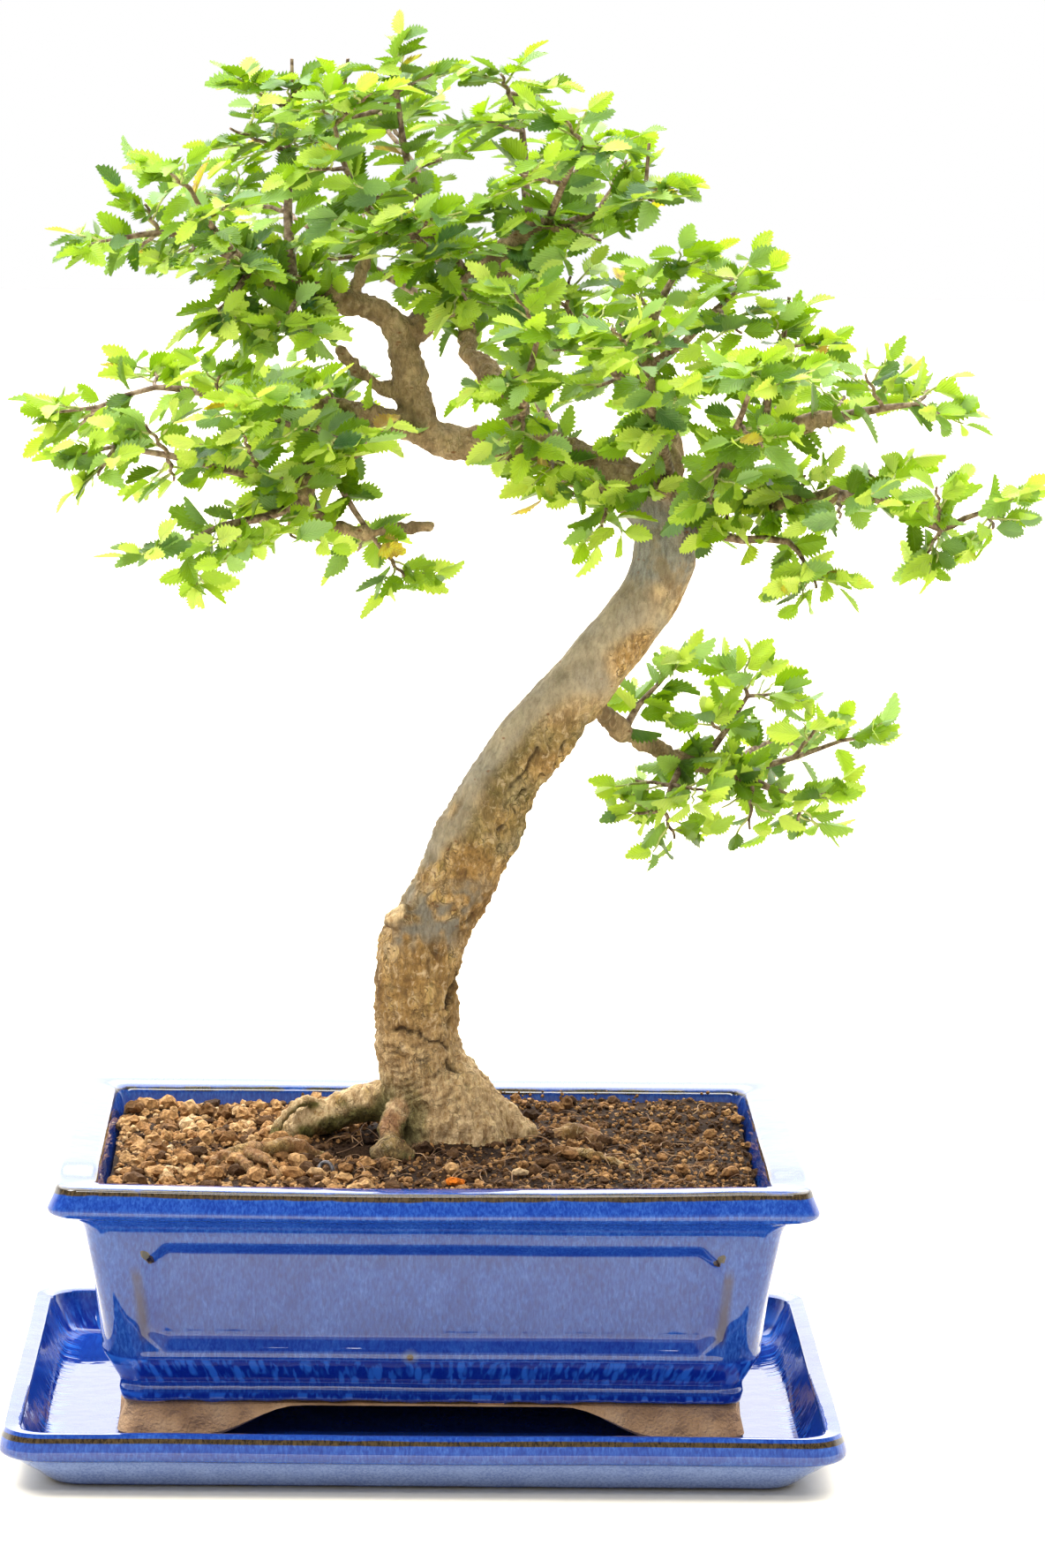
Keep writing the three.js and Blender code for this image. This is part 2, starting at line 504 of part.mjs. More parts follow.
// Where a leaf sits and how it is turned, from its place on the shoot
function drawLeaf(draw, at, axis, side, scale) {
  const outward = at.clone().sub(CROWN_MIDDLE).normalize();
  const open = THREE.MathUtils.degToRad(draw(50, 75));
  const along = axis.clone().multiplyScalar(Math.cos(open)).addScaledVector(side, Math.sin(open));
  along.z += draw(-0.25, 0.25);
  along.normalize();
  const face = outward.multiplyScalar(0.8);
  face.x += draw(-0.85, 0.85);
  face.y += draw(-0.85, 0.85);
  face.z += draw(-0.85, 0.85) + 0.5;
  face.addScaledVector(along, -face.dot(along)).normalize();
  const across = face.clone().cross(along);
  const length = scale * draw(13, 18.5);
  const width = draw(0.5, 0.6);
  const curl = draw(0.02, 0.14);
  return { at, along, across, face, length, width, curl };
}

// A shoot runs straight from its foot to its tip and carries leaves on alternate sides
function drawShoot(foot, reach, seed) {
  const draw = makeDraw(seed);
  const full = foot.distanceTo(reach);
  const axis = reach.clone().sub(foot).normalize();
  const length = Math.max(full - 11, 0.55 * full);
  const tip = foot.clone().addScaledVector(axis, length);
  const up = new THREE.Vector3(draw(-0.3, 0.3), draw(-0.3, 0.3), 1);
  const side = axis.clone().cross(up).normalize();
  const pointAt = (k) => foot.clone().lerp(tip, k);
  const count = Math.max(3, Math.round(length / 6));
  const leaves = [];
  let hand = draw() > 0.5 ? 1 : -1;
  for (let i = 0; i < count; i += 1) {
    const k = 0.28 + 0.66 * i / (count - 1);
    leaves.push(drawLeaf(draw, pointAt(k), axis, side.clone().multiplyScalar(hand), 1.05 - 0.25 * k));
    hand = -hand;
  }
  const last = drawLeaf(draw, pointAt(1 - 0.8 / length), axis, side.clone().multiplyScalar(0.3 * hand), 0.95);
  return { points: [foot.toArray(), tip.toArray()], leaves, last };
}

function boxesMeet(a, b) {
  return [0, 1, 2].every((k) => a.min[k] <= b.max[k] && b.min[k] <= a.max[k]);
}

function meets(a, b) {
  return boxesMeet(a.boundingBox(), b.boundingBox()) && a.intersect(b).volume() > 0;
}

// True where a leaf and its own branchlet share only the sunk root
function rootsCleanly(leaf, solid, body) {
  const shared = solid.intersect(body);
  const { min, max } = shared.boundingBox();
  return shared.volume() > 0 && leaf.at.toArray().every((root, k) => (
    min[k] > root - ROOT_ROOM && max[k] < root + ROOT_ROOM));
}

const LEAF_SEED = 100;
const LEAVES_PER_SHOOT = 3;
const ROOT_ROOM = 3.2;
const SHOOT_SIDES = 3;
const STEM_SIDES = 4;
const STEM_END_DIAMETER = 2.9;

function makeSprays(woodRoom) {
  let seed = LEAF_SEED;
  const sprays = SPRAYS.map(([name, from, to, stem, shoots]) => {
    const diameters = taper(from, Math.max(to, STEM_END_DIAMETER), stem.length);
    const parts = [limb(stem, diameters, STEM_SIDES)];
    const tufts = [];
    for (const [number, [point, reach]] of shoots.entries()) {
      const shoot = drawShoot(new THREE.Vector3(...stem[point]), new THREE.Vector3(...reach), seed);
      seed += 1;
      const used = number < 2 || (shoots.length > 3 && number === shoots.length - 1);
      if (!used) continue;
      parts.push(limb(shoot.points, [SHOOT_DIAMETER, 0.8 * SHOOT_DIAMETER], SHOOT_SIDES));
      const { last, leaves } = shoot;
      tufts.push({ kept: 0, waiting: [last, leaves[leaves.length - 2], leaves[0], ...leaves.slice(1)] });
    }
    const body = largestBody(joined(parts).subtract(woodRoom));
    return { name, body, tufts, leaves: [] };
  });
  // A leaf stays where it is clear of the wood, of every other branchlet and of the leaves before it
  const clear = (spray, leaf, solid) => {
    if (meets(solid, woodRoom) || !rootsCleanly(leaf, solid, spray.body)) return false;
    if (sprays.some((other) => other !== spray && meets(solid, other.body))) return false;
    return !sprays.some((other) => other.leaves.some((near) => meets(solid, near)));
  };
  for (let round = 1; round <= LEAVES_PER_SHOOT; round += 1) {
    for (const spray of sprays) {
      for (const [number, tuft] of spray.tufts.entries()) {
        if (round === LEAVES_PER_SHOOT && number > 0) continue;
        while (tuft.kept < round && tuft.waiting.length > 0) {
          const leaf = tuft.waiting.shift();
          const solid = leafSolid(leaf);
          if (clear(spray, leaf, solid)) {
            spray.leaves.push(solid);
            tuft.kept += 1;
          }
        }
      }
    }
  }
  return sprays.map(({ name, body, leaves }) => ({ name, solid: joined([body, ...leaves]) }));
}

// Put together
const glaze = new THREE.MeshStandardMaterial({ color: 0x2446a8, roughness: 0.18, metalness: 0 });
const earth = new THREE.MeshStandardMaterial({ color: 0x4a3222, roughness: 0.95, metalness: 0 });
const bark = new THREE.MeshStandardMaterial({ color: 0x9a8463, roughness: 0.85, metalness: 0 });
const foliage = new THREE.MeshStandardMaterial({ color: 0x4f9a2c, roughness: 0.45, metalness: 0 });
const plastic = new THREE.MeshStandardMaterial({ color: 0x2a2c2b, roughness: 0.7, metalness: 0 });
const wire = new THREE.MeshStandardMaterial({ color: 0x3a3430, roughness: 0.5, metalness: 0.6 });

const group = new THREE.Group();

function place(name, solid, material) {
  const mesh = new THREE.Mesh(geometryOf(solid), material.clone());
  mesh.name = name;
  group.add(mesh);
}

const wood = makeWood(0);
const woodRoom = makeWood(GAP);
place('drip_tray', makeTray(), glaze);
place('pot', makePot(), glaze);
place('drain_mesh_left', makeDrainMesh(-1), plastic);
place('drain_mesh_right', makeDrainMesh(1), plastic);
place('soil', makeSoil(woodRoom, [-1, 1], makeTieWire(GAP)), earth);
place('tie_wire', makeTieWire(0), wire);
place('tree_wood', wood, bark);
for (const { name, solid } of makeSprays(woodRoom)) place(name, solid, foliage);

export default group;
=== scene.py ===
# Chinese elm bonsai in a blue-glazed rectangular pot on its drip tray, at its real size in metres.
import math
from random import Random

import bmesh
import bpy
from mathutils import Matrix, Vector, noise


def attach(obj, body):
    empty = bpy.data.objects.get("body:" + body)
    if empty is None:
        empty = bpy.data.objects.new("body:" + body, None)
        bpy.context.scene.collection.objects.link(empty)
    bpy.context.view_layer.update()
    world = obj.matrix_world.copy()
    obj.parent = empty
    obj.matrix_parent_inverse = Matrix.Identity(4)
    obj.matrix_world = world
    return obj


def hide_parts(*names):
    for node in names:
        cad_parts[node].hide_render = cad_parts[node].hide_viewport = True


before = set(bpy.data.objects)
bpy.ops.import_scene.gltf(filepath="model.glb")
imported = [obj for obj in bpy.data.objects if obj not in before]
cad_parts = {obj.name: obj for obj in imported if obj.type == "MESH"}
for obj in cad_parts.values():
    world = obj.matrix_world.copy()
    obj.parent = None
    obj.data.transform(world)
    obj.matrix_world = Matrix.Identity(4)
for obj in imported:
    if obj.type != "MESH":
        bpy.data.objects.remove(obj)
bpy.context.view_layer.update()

# Studio
# A white table in a white room: bright behind and above the plant, dim on the viewer's side, so the
# glaze mirrors the table low down and the dark room at eye height.
CAMERA_PLACE = (-0.0169255, -2.052201, 0.5275129)
CAMERA_YAW = 0.0241
CAMERA_PITCH = 0.1464
CAMERA_ROLL = 0.0132
CAMERA_LENS = 138.107
WALL_GLOW = (2.8, 1.0)  # low down and high up
FRONT_GLOW = (0.85, 0.12)
CEILING_GLOW = 6.2
WHITE = (1, 1, 1, 1)
SOFTBOXES = [  # name, place, width, height, power
    ("softbox_left", (-0.75, -0.5, 1.35), 0.5, 0.5, 12.0),
    ("softbox_front", (0.1, -1.25, 1.5), 1.0, 0.3, 11.0),
]
SOFTBOX_AIM = Vector((0, 0, 0.25))
TABLE_HALF = 6
TABLE_DROP = 0.0002


class Output:
    """What a shading node gives. It adds, subtracts and multiplies like a number."""

    def __init__(self, tree, made, which):
        self.tree = tree
        self.node = made
        self.which = which

    @property
    def socket(self):
        return self.node.outputs[self.which]

    def __add__(self, other):
        return calculate("ADD", self, other)

    def __sub__(self, other):
        return calculate("SUBTRACT", self, other)

    def __mul__(self, other):
        return calculate("MULTIPLY", self, other)


def node(tree, kind, inputs, which=0, **settings):
    """Adds one shader node, with its settings and each input set or linked, and gives one output."""
    made = tree.nodes.new("ShaderNode" + kind)
    for key, value in settings.items():
        setattr(made, key, value)
    for key, value in inputs.items():
        if isinstance(value, Output):
            tree.links.new(value.socket, made.inputs[key])
        else:
            made.inputs[key].default_value = value
    return Output(tree, made, which)


def calculate(operation, first, second=0.0):
    return node(first.tree, "Math", {0: first, 1: second}, operation=operation)


def spread(value, from_low, from_high, to_low=0.0, to_high=1.0, smooth=False):
    """A value taken from one range to another, held at both ends."""
    return node(value.tree, "MapRange", {0: value, 1: from_low, 2: from_high, 3: to_low, 4: to_high},
                interpolation_type="SMOOTHSTEP" if smooth else "LINEAR")


def axis(vector, letter):
    return node(vector.tree, "SeparateXYZ", {0: vector}, letter)


camera_data = bpy.data.cameras.new("camera")
camera_data.sensor_fit = "VERTICAL"
camera_data.sensor_height = 36
camera_data.lens = CAMERA_LENS
camera = bpy.data.objects.new("camera", camera_data)
camera.matrix_world = (Matrix.Translation(CAMERA_PLACE)
                       @ Matrix.Rotation(-CAMERA_YAW, 4, "Z")
                       @ Matrix.Rotation(math.pi / 2 - CAMERA_PITCH, 4, "X")
                       @ Matrix.Rotation(CAMERA_ROLL, 4, "Z"))
scene = bpy.context.scene
scene.collection.objects.link(camera)
scene.camera = camera
scene.view_settings.view_transform = "Standard"

room = bpy.data.worlds.new("room")
room.use_nodes = True
scene.world = room
tree = room.node_tree
tree.nodes.clear()
direction = node(tree, "TexCoord", {}, "Generated")
back, up = axis(direction, "Y"), axis(direction, "Z")
wall = spread(back, 0.0, 0.35) * spread(up, 0.28, 0.5, *WALL_GLOW)
ceiling = spread(up * 0.9 + back * 0.45, 0.6, 0.8, 0.0, CEILING_GLOW)
front = spread(up, 0.3, 0.5, *FRONT_GLOW)
strength = calculate("MAXIMUM", calculate("MAXIMUM", wall, ceiling), front)
glow = node(tree, "Background", {"Color": WHITE, "Strength": strength})
backdrop = node(tree, "Background", {"Color": WHITE, "Strength": 1.0})
seen = node(tree, "MixShader", {0: node(tree, "LightPath", {}, "Is Camera Ray"), 1: glow, 2: backdrop})
node(tree, "OutputWorld", {"Surface": seen})

for name, place, wide, high, power in SOFTBOXES:
    lamp = bpy.data.lights.new(name, "AREA")
    lamp.shape = "RECTANGLE"
    lamp.size = wide
    lamp.size_y = high
    lamp.energy = power
    holder = bpy.data.objects.new(name, lamp)
    turned = (SOFTBOX_AIM - Vector(place)).to_track_quat("-Z", "Y").to_matrix().to_4x4()
    holder.matrix_world = Matrix.Translation(place) @ turned
    scene.collection.objects.link(holder)


def new_object(name, bm, materials, sharp_angle=40):
    """Makes an object of a finished bmesh, shaded smooth except across sharp edges."""
    mesh = bpy.data.meshes.new(name)
    bm.to_mesh(mesh)
    bm.free()
    for material in materials:
        mesh.materials.append(material)
    mesh.shade_smooth()
    mesh.set_sharp_from_angle(angle=math.radians(sharp_angle))
    made = bpy.data.objects.new(name, mesh)
    scene.collection.objects.link(made)
    return made


def new_material(name, **sockets):
    """A material, its node tree and its Principled shader, with plain sockets set."""
    material = bpy.data.materials.new(name)
    material.use_nodes = True
    shader = material.node_tree.nodes["Principled BSDF"]
    for key, value in sockets.items():
        shader.inputs[key.replace("_", " ")].default_value = value
    return material, material.node_tree, shader


table_white, _, _ = new_material("table_white", Roughness=0.7, Base_Color=(0.86, 0.79, 0.64, 1))
bm = bmesh.new()
bmesh.ops.create_grid(bm, x_segments=1, y_segments=1, size=TABLE_HALF)
bmesh.ops.translate(bm, verts=bm.verts, vec=(0, 0, -TABLE_DROP))
floor = new_object("table_top", bm, [table_white])

# Drip tray
# A shallow rounded rectangle of slip-cast stoneware, dipped in the same running cobalt glaze as the
# pot. The glaze breaks brown where it thins over the rim, and the tray stands loose on the table.
MM = 0.001
TRAY_DEPTH_LESS = 32.2
# A pooling below nought in the last column marks where the table's lilac reflection is painted on: painted
# reflection.
TRAY_ROWS = [  # half width, height, corner radius, and where not nought, glaze's thinness and pooling
    (121, 0.0, 11), (124.4, 0.0, 11, 0.3), (125.8, 0.5, 12, 0.9), (126.6, 1.1, 12, 0.2, -1),
    (128, 2.4, 12, 0, -1), (131, 5.0, 13, 0, -1), (135, 8.4, 13, 0, -1), (138.2, 11.1, 14, 0, -0.8),
    (139.2, 11.7, 14, 0, -0.3), (140.8, 12.2, 14), (141.6, 13.0, 14, 0, 0.1), (142.0, 14.2, 14, 0, 0.2),
    (141.8, 15.8, 14, 0, 0.2), (141.5, 17.2, 14, 0, 0.2), (141.3, 18.0, 14, 0.15, 0.1),
    (141.1, 18.6, 14, 1), (140.85, 19.2, 14, 1.1), (140.55, 19.9, 13.9, 1), (140.3, 20.4, 13.8, 0, 0.2),
    (139.9, 21.3, 13.5, 0, 0.2), (138.6, 21.2, 13, 0, 0.2), (136.9, 21.0, 12, 0, 0.3),
    (135.3, 20.7, 11, 0, 0.2), (134.7, 20.2, 11, 0.5), (134.4, 19.3, 10.5, 0.6),
    (134.0, 18.2, 10, 0.1, 0.4), (132.2, 14, 10, 0, 0.7), (130.4, 10.4, 9.5, 0, 0.9),
    (129.2, 8.6, 9, 0, 1), (128, 7.5, 8.5, 0, 1), (126, 7.05, 8, 0, 0.8), (121, 7.0, 8, 0, 0.4),
]
CORNER_STEPS = 8
PINHOLE = (-0.0045, -0.0625, 0.037)


def walk(corner_steps, long_cuts, short_cuts):
    """Places round a rounded rectangle: corner, turn within it, and share of the side that follows."""
    places = []
    for corner in range(4):
        places += [(corner, step / corner_steps, 0) for step in range(corner_steps + 1)]
        places += [(corner, 1, share) for share in (short_cuts if corner % 2 else long_cuts)]
    return places


def spot(place, half_x, half_y, radius):
    """Where such a place lies on a rounded rectangle of this size."""
    corner, turn, share = place

    def arc(corner, turn):
        angle = (corner + turn) * math.pi / 2
        sign_x = 1 if corner in (0, 3) else -1
        sign_y = 1 if corner in (0, 1) else -1
        return Vector((sign_x * (half_x - radius) + radius * math.cos(angle),
                       sign_y * (half_y - radius) + radius * math.sin(angle)))

    return arc(corner, turn).lerp(arc((corner + 1) % 4, 0), share)


def vessel(rows, places, depth_less, centre, shape):
    """Rings of rounded rectangles, bridged one to the next and closed at both ends. shape(x, y, row) gives
    each point's x, y and z, and the glaze's thinness and pooling there, which below nought mark painted
    reflections. "around" runs with the wall and stays the same from ring to ring, so runs of glaze hang
    straight down."""
    rows = [(*row, 0, 0)[:5] for row in rows]
    bm = bmesh.new()
    thin = bm.verts.layers.float.new("thin")
    pool = bm.verts.layers.float.new("pool")
    around = bm.verts.layers.float.new("around")
    rings = []
    for row in rows:
        verts = bmesh.ops.create_circle(bm, segments=len(places), radius=1)["verts"]
        for vert, place in zip(verts, places):
            at = spot(place, row[0], row[0] - depth_less, row[2])
            x, y, z, vert[thin], vert[pool] = shape(at.x, at.y, row)
            vert.co = ((centre[0] + x) * MM, (centre[1] + y) * MM, z * MM)
            home = spot(place, rows[0][0], rows[0][0] - depth_less, rows[0][2])
            vert[around] = (home.x + home.y) * MM
        # Each edge once and in order, unlike in a set, so that every run fills the ends the same way
        rings.append(list(dict.fromkeys(edge for vert in verts for edge in vert.link_edges)))
    for low, high in zip(rings, rings[1:]):
        bmesh.ops.bridge_loops(bm, edges=low + high)
    for end in (rings[0], rings[-1]):
        bmesh.ops.edgeloop_fill(bm, edges=end)
    bmesh.ops.recalc_face_normals(bm, faces=bm.faces)
    return bm


def evenly(count, low=0.0, high=1.0):
    return [low + (high - low) * (i + 1) / (count + 1) for i in range(count)]


def tray_shape(x, y, row):
    """The cast rim is not quite level or straight."""
    _, height, _, thin, pool = row
    wave = noise.noise(Vector((x / 60, y / 60, 3.7)))
    ripple = noise.noise(Vector((x / 9, y / 9, 8.1)))
    share = min(height / 12, 1)
    rise = (0.45 * wave + 0.12 * ripple) * share if height > 7.1 else 0
    reach = 1 + 0.0016 * wave * share
    return x * reach, y * reach, height + rise, thin * (0.75 + 0.5 * ripple), pool


def ramp(value, stops):
    """A colour ramp through (place, colour) stops."""
    made = node(value.tree, "ValToRGB", {0: value})
    elements = made.node.color_ramp.elements
    while len(elements) < len(stops):
        elements.new(1.0)
    for element, (place, colour) in zip(elements, stops):
        element.position = place
        element.color = (*colour, 1)
    return made


def mix(factor, first, second):
    """The second colour laid over the first."""
    inputs = {0: factor, 6: first, 7: second}
    tree = next(value.tree for value in inputs.values() if isinstance(value, Output))
    plain = {key: (*value, 1) for key, value in inputs.items() if isinstance(value, tuple)}
    return node(tree, "Mix", inputs | plain, 2, data_type="RGBA")


def places_in(tree, squash=1):
    """Object coordinates. What is drawn in them is pulled out upwards where squash is below one."""
    return node(tree, "Mapping", {"Vector": node(tree, "TexCoord", {}, "Object"), "Scale": (1, 1, squash)})


def mottle(tree, scale, detail=2, squash=1, **more):
    """Cloudy noise from 0 to 1 through the object."""
    inputs = {"Vector": places_in(tree, squash), "Scale": scale, "Detail": detail, **more}
    return node(tree, "TexNoise", inputs)


def attribute(tree, name):
    return node(tree, "Attribute", {}, "Fac", attribute_name=name)


def finish(shader, colour, relief=None, strength=1.0, distance=0.001):
    """Gives a shader its colour and, where there is one, its relief, with the bumps' height in metres."""
    colour.tree.links.new(colour.socket, shader.inputs["Base Color"])
    if relief is not None:
        bump = node(colour.tree, "Bump", {"Height": relief, "Strength": strength, "Distance": distance})
        colour.tree.links.new(bump.socket, shader.inputs["Normal"])
        return bump


def make_glaze(name):
    """Running cobalt glaze: deep where thin streaks part, paler where they bunch, with pale drips where it
    has run together, and brown where it thins over an edge."""
    material, tree, shader = new_material(name, Roughness=0.04, IOR=1.62)
    thin, pool = attribute(tree, "thin"), attribute(tree, "pool")
    streaks = mottle(tree, 1150, 3, 0.3, Roughness=0.6, Distortion=0.4)
    flow = streaks * 0.75 + mottle(tree, 90, 2, 0.6) * 0.25
    colour = ramp(flow, [(0.32, (0.005, 0.026, 0.185)), (0.46, (0.01, 0.047, 0.255)),
                         (0.58, (0.021, 0.08, 0.335)), (0.74, (0.05, 0.14, 0.45))])
    # Where the glaze has run together it is dark between round drops and longer runs
    pooled = spread(pool, 0.0, 1.0)
    hanging = node(tree, "CombineXYZ", {0: attribute(tree, "around"), 2: axis(places_in(tree, 0.36), "Z")})
    drops = spread(node(tree, "TexVoronoi", {"Vector": hanging, "Scale": 400}), 0.6, 0.34, smooth=True)
    gate = spread(node(tree, "TexNoise", {"Vector": hanging, "Scale": 170}), 0.42, 0.5)
    runs = node(tree, "TexNoise", {"Vector": hanging, "Scale": 520, "Detail": 1.5, "Distortion": 0.25})
    drips = calculate("MAXIMUM", drops * gate, spread(runs, 0.5, 0.68, 0.0, 0.8, smooth=True))
    drips = drips * spread(pooled, 0.45, 0.85)
    colour = mix(pooled * 0.85, colour, (0.001, 0.013, 0.24))
    colour = mix(drips * 0.85, colour, (0.03, 0.165, 0.62))
    # A pool below nought paints the bright table's pale lilac reflection onto the tray's lower outer wall, a
    # painted reflection; a thinness below nought paints a dark purplish bar on each panel's end bevel, a
    # painted reflection of the room
    table_reflection_paint = ramp(flow, [(0.4, (0.14, 0.205, 0.46)), (0.62, (0.245, 0.335, 0.62))])
    colour = mix(spread(pool, 0.0, -1.0), colour, table_reflection_paint)
    colour = mix(spread(thin, 0.0, -1.0) * 0.85, colour, (0.035, 0.022, 0.045))
    # A pinhole blown in the glaze below the front panel, with a brown rim
    away = node(tree, "VectorMath", {0: places_in(tree), 1: PINHOLE}, "Value", operation="DISTANCE")
    colour = mix(spread(away, 0.0034, 0.0016, 0.0, 0.6), colour, (0.12, 0.15, 0.24))
    colour = mix(spread(away, 0.0014, 0.0009), colour, (0.085, 0.045, 0.015))
    worn = spread(thin + (streaks - 0.5) * 0.35, 0.45, 0.68, smooth=True)
    brown = ramp(streaks, [(0.35, (0.016, 0.011, 0.006)), (0.65, (0.07, 0.047, 0.022))])
    brown = mix(spread(thin, 1.3, 1.7), brown, (0.01, 0.008, 0.008))
    swell = mottle(tree, 110, 2, 0.5)
    finish(shader, mix(worn, colour, brown), swell + drips * 0.3, 0.12, 0.001)
    return material


tray_glaze = make_glaze("tray_glaze")
tray_places = walk(CORNER_STEPS, evenly(26), evenly(20))
tray = new_object("drip_tray_glazed", vessel(TRAY_ROWS, tray_places, TRAY_DEPTH_LESS, (0, 0), tray_shape),
                  [tray_glaze])
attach(tray, "root")
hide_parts("drip_tray")

# Pot
# One slip-cast and fired body: glazed inside the rim and down to a moulding, bare clay below it, with
# four corner feet between arches and a sunk window panel in each wall. It stands loose in the tray.
POT_X = 3
POT_Y = 17
POT_DEPTH_LESS = 33.5
POT_UNDERSIDE_Z = 19.2
FOOT_Z = 7.3
FOOT_ROWS = [  # half width, share of the way from the foot's sole up to the glaze line, corner radius
    (92, 1.0, 4), (98.2, 0.99, 4), (99.4, 0.15, 4), (100.8, 0.0, 4), (106.4, 0.0, 6.5),
    (107.2, 0.1, 7), (106.5, 0.35, 7), (105.2, 0.65, 7), (104.3, 0.98, 7),
]
GLAZE_ROWS = [
    (105.2, 19.25, 7, 0.9), (105.7, 19.8, 7, 0.8), (106.0, 20.6, 7, 0.2, 0.6), (106.2, 21.6, 7, 0, 1),
    (106.5, 22.6, 7.5, 0, 0.7), (106.6, 23.3, 7.5, 0, 0.2), (106.5, 24.2, 8, 0, 0.1),
    (106.35, 25.1, 8, 0, 0.2), (106.35, 26.0, 8, 0, 0.5), (106.8, 27.4, 8, 0, 1), (107.6, 29.4, 8, 0, 1),
    (108.5, 31.8, 8, 0, 1),
]
WALL_SLOPE = 0.186
WALL_FOOT = (110.3, 38.4)
WALL_ROWS = [
    34.2, 35.2, 36.0, 36.8, 37.6, 38.3, 38.9, 39.4, 39.9, 40.4, 41.2, 42.2, 43.2, 44.2, 45.4, 49, 53, 57, 61,
    65, 69, 71, 72.2, 73.0, 73.6, 74.4, 75.2, 76.0, 76.7, 77.3, 78.2, 79.4,
]
RIM_ROWS = [
    (118.7, 81.8, 8, 0, 0.1), (120.0, 83.9, 8, 0, 0.2), (121.9, 85.6, 8, 0, 0.3),
    (124.4, 86.8, 8, 0.2, 0.3), (127.2, 87.6, 8, 0, 0.3), (128.7, 88.2, 8, 0, 0.2),
    (129.7, 89.3, 8, 0, 0.1), (130.1, 90.5, 8, 0, 0.1), (130.0, 91.4, 8, 0, 0.1),
    (129.5, 92.6, 8, 0, 0.3), (128.9, 94.1, 8, 0, 0.3), (128.3, 95.6, 8, 0, 0.2), (128.0, 96.3, 7.9, 0.5),
    (127.7, 97.1, 7.8, 1.1), (127.4, 98.1, 7.6, 1.1), (126.8, 98.8, 7.3, 0.9), (126.0, 99.15, 7, 0.2),
    (125.0, 99.2, 7, 0, 0.1), (120, 98.9, 6.4, 0, 0.2), (116.2, 98.6, 5.4, 0, 0.2), (114.9, 98.1, 5, 0.6),
    (114.1, 97.2, 5, 0.9), (113.6, 95.6, 5, 0.3, 0.1), (112.6, 92, 5, 0, 0.5), (111.6, 88, 5, 0, 0.8),
    (110.8, 80, 5, 0, 0.5), (108, 60, 5), (102.5, 36, 5), (99.5, 26.5, 5), (97, 25, 5),
]
ARCH_LONG = (78, 45)
ARCH_SHORT = (46, 22)
PANEL_Z = 57.65
PANEL_HALF_HEIGHT = 19.35
PANEL_HALF_LONG = 98
PANEL_HALF_SHORT = 64
PANEL_CORNER_CUT = 7
PANEL_DEEP_LOW = 2.8
PANEL_DEEP_HIGH = 3.1
PANEL_BEVEL_LOW = 5.1
PANEL_BEVEL_HIGH = 3.9
PANEL_END_BEVEL = 11
PANEL_BROWN_Z = 55
PANEL_BROWN_HALF = 14
PANEL_GROOVE_END = (1.2, 14.6)  # in from the panel's end, up from its middle
PANEL_ROWS = (33, 80)  # the panels lie in wall rows between these heights, at least this far out
PANEL_LEAST_HALF = 109
BELLY = [(27, 0), (36, 2.85), (38.4, 2.4), (77, 0)]  # height, how far the wall stands out there
BELLY_LEAST_HALF = 106
RIM_SAG = 2.4
RIM_SAG_X = -18


def ease(value, low, high):
    """Nought at one value and one at the other, eased in and out between them."""
    t = min(max((value - low) / (high - low), 0), 1)
    return t * t * (3 - 2 * t)


def panel_at(along, z, half_length):
    """How deep the wall is sunk at a point, how thin its glaze is there, with a thinness below nought for the
    end bars' painted reflection, and how much of it has pooled.
    """
    side = abs(along) - half_length
    up = z - PANEL_Z
    level = abs(up) - PANEL_HALF_HEIGHT
    inside = -max(side, level, (side + level + PANEL_CORNER_CUT) * math.sqrt(0.5))
    bevel = PANEL_BEVEL_HIGH if up > 0 else PANEL_BEVEL_LOW
    from_end = ease(-side, -4, PANEL_END_BEVEL)
    share = 0.15 * ease(inside, 0, bevel) + 0.85 * min(max(inside / bevel, 0), 1)
    if up <= 0:
        # Near its lower edge the slope has a steeper, uneven lip that catches the lamps
        broken = ease(noise.noise(Vector((along / 8, z / 30, 2.5))), -0.05, 0.3)
        share += 0.075 * broken * (ease(inside, 1.2, 1.9) - ease(inside, 0, 5.1))
    climb = min(max(up / PANEL_HALF_HEIGHT, -1), 1) / 2 + 0.5
    sunk = (PANEL_DEEP_LOW + (PANEL_DEEP_HIGH - PANEL_DEEP_LOW) * climb) * min(share, from_end)
    beveled = ease(inside, 0, 0.8) * ease(inside, bevel + 1.2, bevel - 0.4) * from_end
    # Each end bevel has a dark brownish bar, a painted reflection of the room, and the groove round the panel
    # ends dark at its upper corners
    end_bar = ease(abs(side - 1.2 - 0.125 * up), 2.6, 0.9)
    middle = ease(abs(z - PANEL_BROWN_Z), PANEL_BROWN_HALF + 1, PANEL_BROWN_HALF - 4)
    out, above = side + PANEL_GROOVE_END[0], up - PANEL_GROOVE_END[1]
    groove_end = ease(math.hypot(out - above, 0.45 * (out + above)), 2.2, 1.0)
    thin = 2.2 * groove_end if groove_end > 0 else -1.1 * end_bar * middle
    return sunk, thin, (0.4 if up > 0 else 0.5) * beveled


